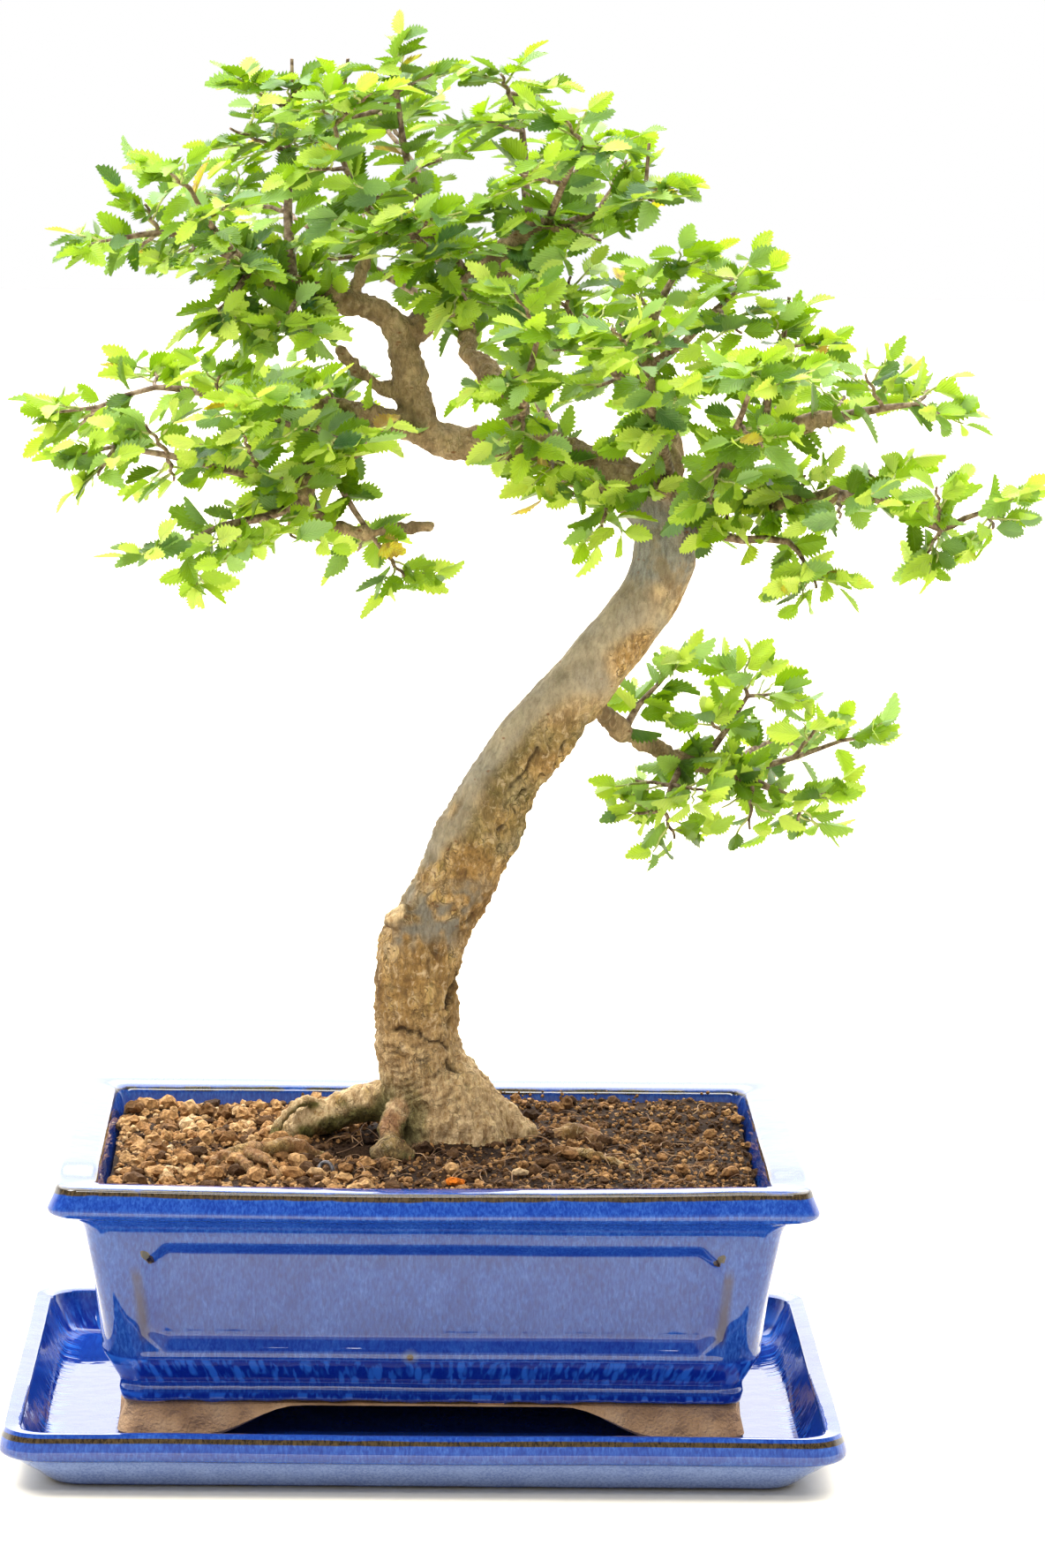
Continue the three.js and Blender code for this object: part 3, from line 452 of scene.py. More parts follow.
def pot_shape(x, y, row):
    """Sinks the panels and rests the bottom rows on four feet with an arch in each side between them."""
    half, height, _, thin, pool = row
    half_y = half - POT_DEPTH_LESS
    wave = noise.noise(Vector((x / 45, y / 45, height / 45)))
    fine = noise.noise(Vector((x / 7, y / 7, height / 7 + 5)))
    if height <= 1.0:
        lift = max(ease(abs(x), *ARCH_LONG), ease(abs(y), *ARCH_SHORT))
        sole = FOOT_Z + (POT_UNDERSIDE_Z - 0.5 - FOOT_Z) * lift
        return x, y, sole + (POT_UNDERSIDE_Z - sole) * height, thin, pool
    pooled = 0
    if PANEL_ROWS[0] < height < PANEL_ROWS[1] and half > PANEL_LEAST_HALF:
        if abs(y) > half_y - 0.01:
            sunk, thin, pooled = panel_at(x, height, PANEL_HALF_LONG)
            y -= math.copysign(sunk, y)
        elif abs(x) > half - 0.01:
            sunk, thin, pooled = panel_at(y, height, PANEL_HALF_SHORT)
            x -= math.copysign(sunk, x)
    # Between its corners each wall bellies out above the foot
    for (low, out_low), (high, out_high) in zip(BELLY, BELLY[1:]):
        if low < height <= high and half > BELLY_LEAST_HALF:
            out = out_low + (out_high - out_low) * (height - low) / (high - low)
            if abs(y) > half_y - 4:
                y += math.copysign(out * ease(abs(x), 108, 96), y)
            elif abs(x) > half - 4:
                x += math.copysign(out * ease(abs(y), 74, 62), x)
    # The rim's front has sagged a little in the kiln
    front_sag = RIM_SAG * (0.35 + 0.65 * max(1 - ((x - RIM_SAG_X) / 120) ** 2, 0)) * ease(-y, 55, 78)
    sag = front_sag * ease(height, 82, 97)
    edge = 0.35 * fine if height < 20 else 0
    reach = 1 + 0.0012 * wave
    height += edge - sag + 0.25 * wave
    return x * reach, y * reach, height, thin * (0.85 + 0.5 * fine), max(pool, pooled)


def crowded(near, between, end):
    """Cuts along a side, closer together near its ends."""
    near_end = evenly(near, 0, end)
    return near_end + evenly(between, end, 1 - end) + [1 - share for share in reversed(near_end)]


# Bare stoneware: pinkish brown, dry and finely gritty, with dents
bare_clay, tree, shader = new_material("bare_clay", Roughness=0.85)
grit = mottle(tree, 900, 3)
tone = ramp(mottle(tree, 70, 3), [(0.3, (0.28, 0.15, 0.07)), (0.5, (0.47, 0.275, 0.135)),
                                  (0.72, (0.6, 0.39, 0.21))])
dents = node(tree, "TexVoronoi", {"Vector": places_in(tree), "Scale": 115}, feature="SMOOTH_F1")
finish(shader, mix(grit * 0.35, tone, (0.25, 0.14, 0.065)), dents + grit * 0.25, 1.0, 0.004)

pot_glaze = make_glaze("pot_glaze")
wall_rows = []
for height in WALL_ROWS:
    half = WALL_FOOT[0] + WALL_SLOPE * (height - WALL_FOOT[1])
    wall_rows.append((half, height, 8, 0, ease(height, 37, 34.5)))
places = walk(CORNER_STEPS, crowded(17, 34, 0.1), crowded(13, 20, 0.14))
bm = vessel(FOOT_ROWS + GLAZE_ROWS + wall_rows + RIM_ROWS, places, POT_DEPTH_LESS, (POT_X, POT_Y), pot_shape)
for face in bm.faces:
    if face.calc_center_median().z < (POT_UNDERSIDE_Z + 0.15) * MM:
        face.material_index = 1
pot = new_object("pot_fired", bm, [pot_glaze, bare_clay])
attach(pot, "root")
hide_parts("pot")

# Drain meshes
# Two squares of black polythene netting laid over the holes in the pot's floor, under the soil. Their
# solids keep their shape here and take a scuffed plastic finish.
netting, tree, shader = new_material("netting_plastic", Roughness=0.6)
scuffs = ramp(mottle(tree, 700, 3), [(0.35, (0.012, 0.013, 0.013)), (0.7, (0.05, 0.052, 0.05))])
finish(shader, scuffs)
for name in ("drain_mesh_left", "drain_mesh_right"):
    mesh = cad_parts[name].data
    mesh.materials.clear()
    mesh.materials.append(netting)

# Soil
# Granular bonsai soil poured round the roots: baked clay crumbs of two to five millimetres, coarse and
# ochre on the left, finer and darker on the right, in a low mound that rises to the trunk.
SOIL_ROWS = [(97, 25.3, 5), (102.2, 36, 5), (107.7, 60, 5), (110.6, 82, 5), (111.0, 88, 5)]
SOIL_HALF = 111.0
SOIL_INNER_HALF = 36
SOIL_TOP_RINGS = 30
SOIL_LEVEL = 91.5
SOIL_BED = 0.8  # how far the bed of the crumbs lies below their mean height
STREWN = (222, 155)
TRUNK_FOOT = (10, 22, 17)  # place and radius in which no crumbs lie
CLINGING_CRUMBS = 60
CRUMB_LAYERS = [  # pitch, smallest and largest radius, share of the crumbs kept at the left and right
    (3.4, 1.1, 1.9, 0.9, 0.9), (2.9, 0.6, 1.0, 0.85, 1.0), (6.0, 2.0, 3.9, 0.85, 0.3)]
ODD_BITS = [(10.5, -38, 2.6, 1.0), (-87, -24, 2.6, 0.93), (42, -14, 3.0, 0.2), (33, -30, 2.2, 0.9)]


def hollow_depth(x, y):
    """How deep the hollow under and in front of the left root is; crumbs in it are also tinted dark as
    painted shade.
    """
    return 8 * math.exp(-((x + 21) / 16) ** 2 - ((y - 10) / 13) ** 2)


def soil_height(x, y):
    """Height of the soil's top: the solid's mound, hollowed under the left root and heaped behind."""
    mound = math.exp(-((x - 6) / 62) ** 2 - ((y - 26) / 48) ** 2)
    ripple = 0.9 * math.sin(x / 8 + y / 11) * math.cos(y / 7 - x / 13)
    heaped = 3.5 * ease(y, 38, 84) * (0.4 + 0.6 * ease(x, -20, 30))
    return SOIL_LEVEL + 7 * mound + ripple + heaped - hollow_depth(x, y)


def soil_shape(x, y, row):
    height = row[1]
    if height > 90:
        rough = 0.7 * noise.noise(Vector((x / 4, y / 4, 0.5)))
        height = soil_height(x + POT_X, y + POT_Y) - SOIL_BED + rough
    # The bed under the crumbs takes a tint near nought, near black: painted shade in the gaps between crumbs.
    return x, y, height, 0, 0.03


# Damp crumbs whose colour follows each crumb's own tint, with a dusty, pitted surface; the lowest tints, near
# black, also paint the shade in the bed between the crumbs and in the hollow
soil_crumbs, tree, shader = new_material("soil_crumbs", Roughness=0.85, Specular_IOR_Level=0.1)
dust = mottle(tree, 700, 4)
tone = ramp(attribute(tree, "pool") + (mottle(tree, 75) - 0.5) * 0.25, [
    (0.0, (0.008, 0.004, 0.003)), (0.22, (0.13, 0.066, 0.029)), (0.5, (0.44, 0.225, 0.084)),
    (0.75, (0.58, 0.34, 0.145)), (0.94, (0.76, 0.54, 0.3)), (1.0, (0.8, 0.2, 0.015))])
finish(shader, mix(spread(dust, 0.42, 0.62, 0.5, 0.0), tone, (0.04, 0.02, 0.009)), dust, 1.0, 0.0012)

top_rows = []
for i in range(SOIL_TOP_RINGS):
    inward = i / (SOIL_TOP_RINGS - 1)
    top_rows.append((SOIL_HALF - (SOIL_HALF - SOIL_INNER_HALF) * inward, 91, 5 - 3.2 * inward))
bm = vessel(SOIL_ROWS + top_rows, walk(3, evenly(40), evenly(28)), POT_DEPTH_LESS, (POT_X, POT_Y), soil_shape)


class Copies:
    """Adds copies of one small mesh to a bmesh, each placed and tinted on its own."""

    def __init__(self, shape_bm, name):
        self.mesh = bpy.data.meshes.new(name)
        shape_bm.to_mesh(self.mesh)
        shape_bm.free()
        self.count = len(self.mesh.vertices)
        self.home = [0.0] * (3 * self.count)
        self.mesh.vertices.foreach_get("co", self.home)

    def add(self, bm, place, **tints):
        self.mesh.vertices.foreach_set("co", self.home)
        self.mesh.transform(place)
        for key, value in tints.items():
            layer = self.mesh.attributes.get(key) or self.mesh.attributes.new(key, "FLOAT", "POINT")
            layer.data.foreach_set("value", [value] * self.count)
        bm.from_mesh(self.mesh)


def moved(x, y, z):
    return Matrix.Translation((x * MM, y * MM, z * MM))


rng = Random(41)
crumbs = []
for i in range(8):
    shape = bmesh.new()
    bmesh.ops.create_icosphere(shape, subdivisions=2 if i > 4 else 1, radius=1)
    for vert in shape.verts:
        vert.co *= 1 + 0.4 * noise.noise(vert.co * 1.3 + Vector((i, 0, 0))) + rng.uniform(-0.24, 0.14)
    crumbs.append(Copies(shape, f"crumb_{i}"))
for pitch, small, large, kept_left, kept_right in CRUMB_LAYERS:
    for column in range(int(STREWN[0] / pitch)):
        for line in range(int(STREWN[1] / pitch)):
            x = POT_X - 110 + pitch * (column + rng.uniform(0, 1))
            y = POT_Y - 76.5 + pitch * (line + rng.uniform(0, 1))
            right = ease(x + 12 * math.sin(y / 17), -52, -2)
            if rng.random() > kept_left + (kept_right - kept_left) * right:
                continue
            if math.hypot(x - TRUNK_FOOT[0], y - TRUNK_FOOT[1]) < TRUNK_FOOT[2]:
                continue
            radius = rng.uniform(small, large) * (1 - 0.22 * right)
            tint = rng.triangular(0.08, 0.97, 0.68 - 0.22 * right) * (1 - 0.13 * right)
            if rng.random() < 0.14 + 0.2 * right:
                tint *= 0.3
            # Crumbs in the hollow under the left root are tinted near black: painted shade.
            tint *= 1 - 0.95 * min(hollow_depth(x, y) / 4, 1)
            z = soil_height(x, y) - SOIL_BED + radius * rng.uniform(-0.4, 0.9)
            turn = Matrix.Rotation(rng.uniform(0, 6.3), 4, "Z")
            turn = turn @ Matrix.Rotation(rng.uniform(-0.6, 0.6), 4, "X")
            size = radius * MM
            stretch = Matrix.Diagonal((size, size * rng.uniform(0.7, 1.0), size * rng.uniform(0.6, 0.9), 1))
            crumb = crumbs[rng.randrange(5, 8) if small > 1.5 else rng.randrange(5)]
            crumb.add(bm, moved(x, y, z) @ turn @ stretch, pool=tint)
# A few odd bits lie on top: an orange chip, a pale pebble, a brown chip
for x, y, radius, tint in ODD_BITS:
    stretch = Matrix.Diagonal((radius * 1.3 * MM, radius * 0.8 * MM, radius * 0.6 * MM, 1))
    crumbs[6].add(bm, moved(x, y, soil_height(x, y) + 0.9) @ stretch, pool=tint)
# Crumbs cling to the wall behind, just under the rim
for _ in range(CLINGING_CRUMBS):
    x = POT_X + rng.triangular(-75, 108, 30)
    z = rng.triangular(93, 98, 97)
    y = POT_Y + 112.5 - POT_DEPTH_LESS + 0.3 * (z - 92)
    place = moved(x, y, z) @ Matrix.Scale(rng.uniform(0.3, 0.8) * MM, 4)
    crumbs[rng.randrange(5)].add(bm, place, pool=rng.uniform(0.2, 0.6))
soil = new_object("soil_granules", bm, [soil_crumbs], sharp_angle=30)
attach(soil, "root")
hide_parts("soil")

# Root hairs
# Fine dry feeder roots that show at the soil's surface, mostly round the foot of the trunk and to its
# right. They grew there and lie half buried.
HAIR_COUNT = 150
HAIR_RISE = (-1.2, 0.7, 1.0, 0.7, -1.2)  # how high its five points stand above the soil


def feeder_root(rng):
    """A thin wandering root that dives into the soil at both ends."""
    x = rng.uniform(-45, 105)
    y = rng.triangular(-52, 84, -20)
    turn = rng.uniform(0, math.tau)
    length = rng.uniform(7, 20)
    points = []
    for rise in HAIR_RISE:
        turn += rng.uniform(-0.6, 0.6)
        x = min(max(x + math.cos(turn) * length / 4, POT_X - 106), POT_X + 106)
        y = min(max(y + math.sin(turn) * length / 4, POT_Y - 72), POT_Y + 72)
        z = soil_height(x, y) + rise + rng.uniform(-0.4, 0.6)
        points.append((x, y, z, rng.uniform(0.1, 0.24)))
    return points


def settled(holder):
    """The mesh that an object comes to with its bevel or modifiers, after which the object goes."""
    scene.collection.objects.link(holder)
    mesh = bpy.data.meshes.new_from_object(holder.evaluated_get(bpy.context.evaluated_depsgraph_get()))
    bpy.data.objects.remove(holder)
    return mesh


def tubes(name, paths, sides=1, steps=6):
    """One mesh of closed round tubes, each along a smooth path of (x, y, z, radius) in millimetres."""
    curve = bpy.data.curves.new(name, "CURVE")
    curve.dimensions = "3D"
    curve.bevel_depth = MM
    curve.bevel_resolution = sides
    curve.resolution_u = steps
    curve.use_fill_caps = True
    for path in paths:
        spline = curve.splines.new("BEZIER")
        spline.bezier_points.add(len(path) - 1)
        for knot, (x, y, z, radius) in zip(spline.bezier_points, path):
            knot.co = (x * MM, y * MM, z * MM)
            knot.radius = radius
            knot.handle_left_type = knot.handle_right_type = "AUTO"
    return settled(bpy.data.objects.new(name, curve))


hair_bark, tree, shader = new_material("feeder_root", Roughness=0.8)
tone = ramp(mottle(tree, 110), [(0.38, (0.11, 0.055, 0.028)), (0.52, (0.3, 0.17, 0.085)),
                                (0.68, (0.42, 0.26, 0.13))])
finish(shader, tone, mottle(tree, 1500), 0.5, 0.0003)
bm = bmesh.new()
bm.from_mesh(tubes("feeder_roots", [feeder_root(rng) for _ in range(HAIR_COUNT)], sides=0, steps=3))
hairs = new_object("root_hairs", bm, [hair_bark])
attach(hairs, "root")

# Tie wire
# A turn of the brown anodised wire that ties the root ball into the pot, standing out of the soil as a
# small loop near the front. It is round wire, bent by hand.
WIRE_RADIUS = 0.8
WIRE_POINTS = [(-38, -31, 84), (-37, -30, 93), (-34, -28, 97), (-31, -30, 93), (-30, -31, 84)]

wire_metal, tree, shader = new_material("anodised_wire", Roughness=0.4, Metallic=0.7)
finish(shader, ramp(mottle(tree, 600), [(0.4, (0.03, 0.028, 0.03)), (0.65, (0.12, 0.11, 0.115))]))
bm = bmesh.new()
bm.from_mesh(tubes("tie_wire_path", [[(*at, WIRE_RADIUS) for at in WIRE_POINTS]], sides=3, steps=8))
bmesh.ops.remove_doubles(bm, verts=bm.verts, dist=1e-6)
wire = new_object("tie_wire_loop", bm, [wire_metal])
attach(wire, "root")
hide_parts("tie_wire")

# Tree wood
# Trunk, limbs, cut stubs and surface roots grown as one: grey and smooth high up, tan and flaking
# lower down, with folds above the roots, an old split, and moss in the damp creases.
TRUNK = [(14, 22, 58, 10), (14, 22, 75, 16), (12, 23, 91, 20.2), (7, 23, 106, 18.5), (0, 22, 120, 14.5),
         (-3, 20, 138, 13.5), (-3, 20, 152, 13.8), (-1, 20, 164, 14.5), (4, 20, 176, 12.8),
         (12, 20, 192, 12.8), (18, 20, 206, 13.2), (27, 20, 225, 12), (42, 20, 245, 11.2),
         (57, 20, 263, 11.2), (71, 20, 280, 10.8), (79, 20, 295, 11), (82, 20, 310, 10.8),
         (83, 20, 322, 9.3)]
LIMBS = [  # diameter at the foot, diameter at the end, points, as in the two tables that follow
    (19, 6, [(81, 20, 314), (70, 20, 325), (55, 22, 332), (38, 20, 338), (22, 18, 340), (8, 15, 341),
             (-3, 12, 345), (-13, 10, 349), (-26, 6, 351)]),
    (13, 9, [(-4, 13, 344), (-6, 14, 354), (-8, 13, 364), (-10, 12, 375), (-12, 11, 383)]),
    (9, 5, [(-12, 11, 381), (-20, 9, 387), (-33, 4, 391), (-49, -2, 396), (-66, -10, 404)]),
    (8.5, 5.5, [(-11, 12, 377), (-2, 15, 384), (6, 18, 389), (9, 20, 396), (4, 22, 406), (-2, 24, 413)]),
    (6.5, 4, [(8, 19, 393), (16, 14, 399), (25, 8, 409), (34, 4, 416), (44, -2, 417)]),
    (10, 4.5, [(31, 22, 338), (28, 34, 353), (19, 44, 365), (13, 50, 370), (16, 62, 384), (28, 76, 399)]),
    (8.5, 7.5, [(-15, 10, 348), (-25, 2, 342), (-35, -5, 339), (-43, -10, 330), (-46, -12, 320)]),
    (6, 5, [(-44, -11, 326), (-58, -18, 332)]),
    (6, 4, [(-23, 7, 351), (-37, 18, 347), (-55, 32, 349)]),
    (13, 6.5, [(83, 20, 314), (82, 22, 327), (81, 26, 341), (77, 28, 355), (74, 30, 370)]),
    (10, 4.5, [(85, 16, 322), (97, 12, 328), (109, 6, 344), (120, 2, 348), (137, -6, 353)]),
    (7, 4.5, [(91, 16, 320), (105, 8, 322), (121, -2, 324), (139, -10, 327)]),
    (6.5, 3.6, [(57, 24, 249), (74, 40, 235), (88, 48, 228), (99, 52, 223), (115, 54, 219)]),
]
ROOTS = [
    (15, 9.6, [(2, 24, 110), (-16, 28, 107.6), (-30, 31, 103.2), (-42, 30, 98.6), (-50, 27, 90.5)]),
    (17.5, 8, [(9, 23, 114), (26, 23.4, 103), (41, 22.6, 91)]),
    (7, 8, [(-6, 20, 112), (-11, 9, 104), (-12, 1, 97), (-12, -3, 90)]),
    (9, 8, [(-16, -1, 93), (-11, -4, 96), (-5, -5, 92)]),
    (3.6, 2.6, [(-33, 30, 105), (-41, 26, 107.4), (-48, 23, 104.5), (-52, 21, 98), (-54, 20, 91),
                (-54, 20, 86)]),
    (4.4, 4.0, [(-36, 2, 93), (-46, -3, 97.2), (-57, -5, 96.8), (-68, -6, 94.6), (-75, -8, 89)]),
    (3.4, 2.4, [(-66, -6, 94.6), (-64, -14, 95), (-61, -21, 93.5), (-58, -26, 89)]),
    (3.2, 2.2, [(-62, -6, 95.5), (-56, -15, 95.4), (-52, -24, 94), (-49, -30, 89)]),
    (7, 5.4, [(38, 24, 87), (46, 25, 94), (53, 26, 97), (61, 25, 93.5), (66, 24, 86)]),
    (3.2, 2.2, [(42, 6, 91), (50, 1, 95.4), (60, -5, 95.4), (70, -11, 92.6), (76, -15, 88)]),
]
STUBS = [
    (13, 9, [(3, 18, 162), (-5, 13, 171), (-10.5, 9.5, 177.5)]),
    (6, 4.6, [(80, 16, 321), (81, 5, 328)]),
    (4.6, 3.2, [(-6, 13, 356), (-20, 11, 362), (-33, 8, 374)]),
    (4.6, 3.2, [(-45, -13, 324), (-34, -14, 315), (0, -16, 315)]),
    (4.6, 3.4, [(-24, 7, 352), (-32, 10, 355), (-42, 6, 353)]),
    (4, 3, [(-28, 7, 389), (-26, 6, 397), (-23, 4, 406)]),
    (4, 3, [(4, 22, 408), (-8, 20, 412), (-20, 18, 411)]),
    (5, 3.4, [(-45, -13, 326), (-46, -13, 319), (-47, -13, 313)]),
]
WOOD_VOXEL = 0.9 * MM
CUT_STUBS = 3  # the first three stubs end in a sawn face
CREASES = [  # how deep, how wide, and the line as (turn, height); the viewer's side is at a turn of -1.57
    (1.5, 1.0, [(-2.2, 136.6), (-1.85, 137.2), (-1.3, 133.7), (-0.92, 132.4), (-0.8, 128), (-0.92, 124),
                (-0.7, 121)]),
    (0.8, 0.8, [(-2.7, 130.6), (-2.2, 130.1), (-2.0, 128.8)]),
    (0.8, 0.8, [(-1.15, 122), (-1.45, 118.5), (-1.62, 113.5)]),
    (0.7, 0.9, [(-2.5, 152.0), (-2.1, 151.2)]),
    (2.8, 1.7, [(-0.76, 144.5), (-0.64, 148.5), (-0.46, 153), (-0.38, 156)]),
    (1.0, 1.2, [(-0.38, 156), (-0.2, 163)]), (1.0, 1.0, [(-0.55, 141), (-0.6, 136)]),
    (1.0, 1.1, [(-0.6, 176), (-1.0, 172.5)]),
    (0.9, 1.0, [(0.6, 128), (1.5, 131), (2.6, 127)]), (0.8, 1.0, [(0.9, 146), (1.7, 143), (2.5, 148)]),
    (1.6, 1.1, [(-1.15, 207), (-0.9, 212), (-1.1, 217), (-0.85, 222)]),
    (1.2, 1.0, [(-1.4, 222), (-1.2, 228), (-1.4, 236)]),
    (1.3, 1.0, [(-0.65, 226), (-0.5, 232), (-0.65, 239)]),
]
SPLIT_DEPTH = 2  # creases deeper than this are the old split, which isn't broken up
# Heights at which each kind of bark begins, is full, is still full, and ends
WRINKLES_Z = (106, 114, 129, 134)
FOLDS_Z = (122, 130, 148, 162)
FLAKES_Z = (192, 204, 240, 256)
LOWER_STUB_Z = 178
FRONT_ROOT_X = -11


def tapered(first, last, points):
    """A path whose radius runs evenly from one end's diameter to the other's."""
    steps = len(points) - 1
    return [(*at, (first + (last - first) * i / steps) / 2) for i, at in enumerate(points)]


def trunk_at(z):
    """The trunk's middle and radius at a height."""
    for low, high in zip(TRUNK, TRUNK[1:]):
        if z <= high[2]:
            share = min(max((z - low[2]) / (high[2] - low[2]), 0), 1)
            return Vector(low).lerp(Vector(high), share)
    return Vector(TRUNK[-1])


def crease_depth(turn, z, radius):
    """How deep the trunk's creases are at a place."""
    deepest = 0.0
    for depth, wide, line in CREASES:
        if not min(at[1] for at in line) - 3 < z < max(at[1] for at in line) + 3:
            continue
        place = Vector((turn * radius, z))
        for (turn_a, z_a), (turn_b, z_b) in zip(line, line[1:]):
            start = Vector((turn_a * radius, z_a))
            run = Vector((turn_b * radius, z_b)) - start
            share = min(max((place - start).dot(run) / run.length_squared, 0), 1)
            off = (place - start - run * share).length
            deepest = max(deepest, depth * ease(off, wide, 0.2 * wide))
    return deepest


def ridged(point, size):
    return 1 - 2 * abs(noise.noise(point / size))


def patches(at, size, *shift):
    """Noise whose patches are about this big in millimetres."""
    return noise.noise(at / size + Vector(shift or (0, 0, 0)))


def band(value, low, full_low, full_high, high):
    """One in the middle of a range and nought outside it."""
    return ease(value, low, full_low) * ease(value, high, full_high)


paths = [TRUNK] + [tapered(*limb) for limb in LIMBS + ROOTS + STUBS]
holder = bpy.data.objects.new("wood_tubes", tubes("wood_tubes", paths, sides=6, steps=8))
fuse = holder.modifiers.new("fuse", "REMESH")
fuse.mode = "VOXEL"
fuse.voxel_size = WOOD_VOXEL
bm = bmesh.new()
bm.from_mesh(settled(holder))
for _ in range(2):
    bmesh.ops.smooth_vert(bm, verts=bm.verts, factor=0.5, use_axis_x=True, use_axis_y=True, use_axis_z=True)
bm.normal_update()
smooth, blue, pale, moss, ruddy, dark = [
    bm.verts.layers.float.new(key) for key in ("smooth", "blue", "pale", "moss", "ruddy", "dark")]
cut_faces = [(Vector(points[-1]), last / 2) for _, last, points in STUBS[:CUT_STUBS]]
for vert in bm.verts:
    at = vert.co / MM
    core = trunk_at(at.z)
    away = Vector((at.x - core.x, at.y - core.y))
    turn = math.atan2(away.y, away.x)
    on_trunk = ease(away.length, core[3] + 7, core[3] + 3) * ease(at.z, 330, 318)
    off_trunk = 1 - on_trunk
    low = ease(at.z, 250, 195) * on_trunk + off_trunk * (0.6 if at.z < 120 else 0.8)
    lumps = (patches(at, 14) * 1.2 + patches(at, 6) * 0.8 * (0.3 + low)) * on_trunk
    lumps += patches(at, 7) * 1.5 * off_trunk
    rough = ridged(Vector((at.x, at.y, at.z * 0.6)), 4.4) * 0.75 + patches(at, 1.9) * 0.7
    push = lumps + rough * (0.3 + low)
    wobble = patches(at, 3.5)
    creased = crease_depth(turn + 0.09 * wobble, at.z + 1.3 * wobble, core[3]) * on_trunk
    if creased < SPLIT_DEPTH:
        creased *= ease(patches(at, 5, 7, 1, 3), -0.45, 0.1)
    push -= creased
    # Fine wrinkles across the front above the roots
    wrinkled = (band(at.z, *WRINKLES_Z) * on_trunk * ease(abs(turn + 1.75), 0.9, 0.5)
                * ease(patches(at, 5, 3, 3, 3), -0.45, 0.15))
    wrinkle = math.sin(2.6 * (at.z - 5 * turn) + 5 * patches(at, 7))
    push += 0.5 * wrinkled * wrinkle
    # Folds round the trunk where it was once bent
    wavy = at.z * 1.5 + 7 * math.sin(turn) + 4 * patches(at, 7)
    push += 0.9 * band(at.z, *FOLDS_Z) * on_trunk * ridged(Vector((turn * 4, wavy, 1)), 5.0)
    # A rough, flaking patch where bark has come away and healed
    facing = ease(abs(math.remainder(turn + 0.95, math.tau)), 1.35, 0.7)
    flaked = band(at.z, *FLAKES_Z) * facing * on_trunk
    push += 1.9 * flaked * ridged(Vector((at.x * 1.5, at.y * 1.5, at.z * 0.55 + 2 * math.sin(at.x / 3))), 6.0)
    vert.co += vert.normal * push * MM

    # Grey, smooth bark high up and on the shaded side, and a bluish film on it and beside the lower stub
    patchy = patches(at, 13, 2, 5, 1)
    high = ease(at.z + 20 * patchy, 170, 225)
    grey = ease(0.55 * patchy - 0.4 * math.cos(turn) + 0.9 * high, 0.35, 0.95)
    beside_stub = (ease(abs(at.z - LOWER_STUB_Z + 7 * wobble), 15, 5)
                   * ease(wobble + patchy, -0.7, 0.0)
                   * ease(abs(turn + 1.5 + 0.3 * wobble), 1.3, 0.5))
    vert[smooth] = (max(grey * (1 - 0.85 * flaked), 0.8 * beside_stub) * on_trunk
                    + 0.5 * off_trunk * (at.z > 150))
    vert[blue] = on_trunk * max(ease(at.z + 14 * patchy, 284, 297), 0.75 * beside_stub,
                                0.3 * grey * ease(patchy, 0.0, 0.4))
    # Pale wood in the sawn faces, and pale worn bark on the lower trunk, its flare and the left root
    sawn = max(ease((at - end).length, radius - 0.1, radius - 1.3) for end, radius in cut_faces)
    sawn_rim = max(ease(abs((at - end).length - radius - 0.4), 1.1, 0.3) for end, radius in cut_faces)
    flare = ease(at.z, 120, 104) * ease(abs(at.x - 20), 24, 14) * ease(patches(at, 9), -0.5, 0.1)
    root_top = (ease(at.x, -14, -22) * ease(at.y, 8, 14) * ease(at.z, 94, 98)
                * ease(vert.normal.z, -0.3, 0.25) * ease(patches(at, 5), -0.55, -0.1)
                * (at.z < 130))
    lower_trunk = ease(at.z, 146, 118) * ease(wobble, -0.75, -0.2) * on_trunk
    vert[pale] = max(sawn, 0.85 * flare, 0.95 * root_top, 0.62 * lower_trunk)
    # Moss in the damp under the left root, and ruddy young bark on the roots in front
    mossy = (ease(at.z, 126, 106) * ease(at.x, 8, -6) * ease(vert.normal.z, 0.75, 0.2)
             * ease(patches(at, 7, 9, 0, 0), -0.45, 0.1))
    from_root = abs(at.x - FRONT_ROOT_X)
    reddish = band(at.y, -2, 2, 9, 15) * ease(from_root, 9, 6) * (at.z < 112)
    if at.z < 102 and abs(at.x) > 36 and (at.y < 16 or at.x > 0):
        reddish = 0.8 * ease(patches(at, 9), -0.3, 0.2)
        mossy *= 0.4
    mossy = max(mossy, 0.45 * flaked * ease(patchy, -0.5, 0.3))
    vert[moss] = mossy * (1 - 0.8 * root_top)
    vert[ruddy] = max(reddish, 0.35 * flare * ease(patches(at, 6), 0.0, 0.3))
    # Darker places: painted shade in the creases, wrinkle troughs and whatever lies deep, and darker bark
    # round the sawn faces, on the knuckle where the front root turns, beside the lower stub and on the limbs
    # high up
    knuckle = ease(at.z, 103, 99) * ease(at.y, 6, 2) * ease(from_root, 12, 8)
    vert[dark] = max(min(0.7 * creased, 1), 0.6 * ease(lumps - push, 0.3, 1.0), 0.5 * knuckle,
                     0.2 * off_trunk * (at.z > 200), 0.4 * sawn_rim, 0.22 * beside_stub,
                     0.55 * wrinkled * ease(wrinkle, -0.3, -0.9))

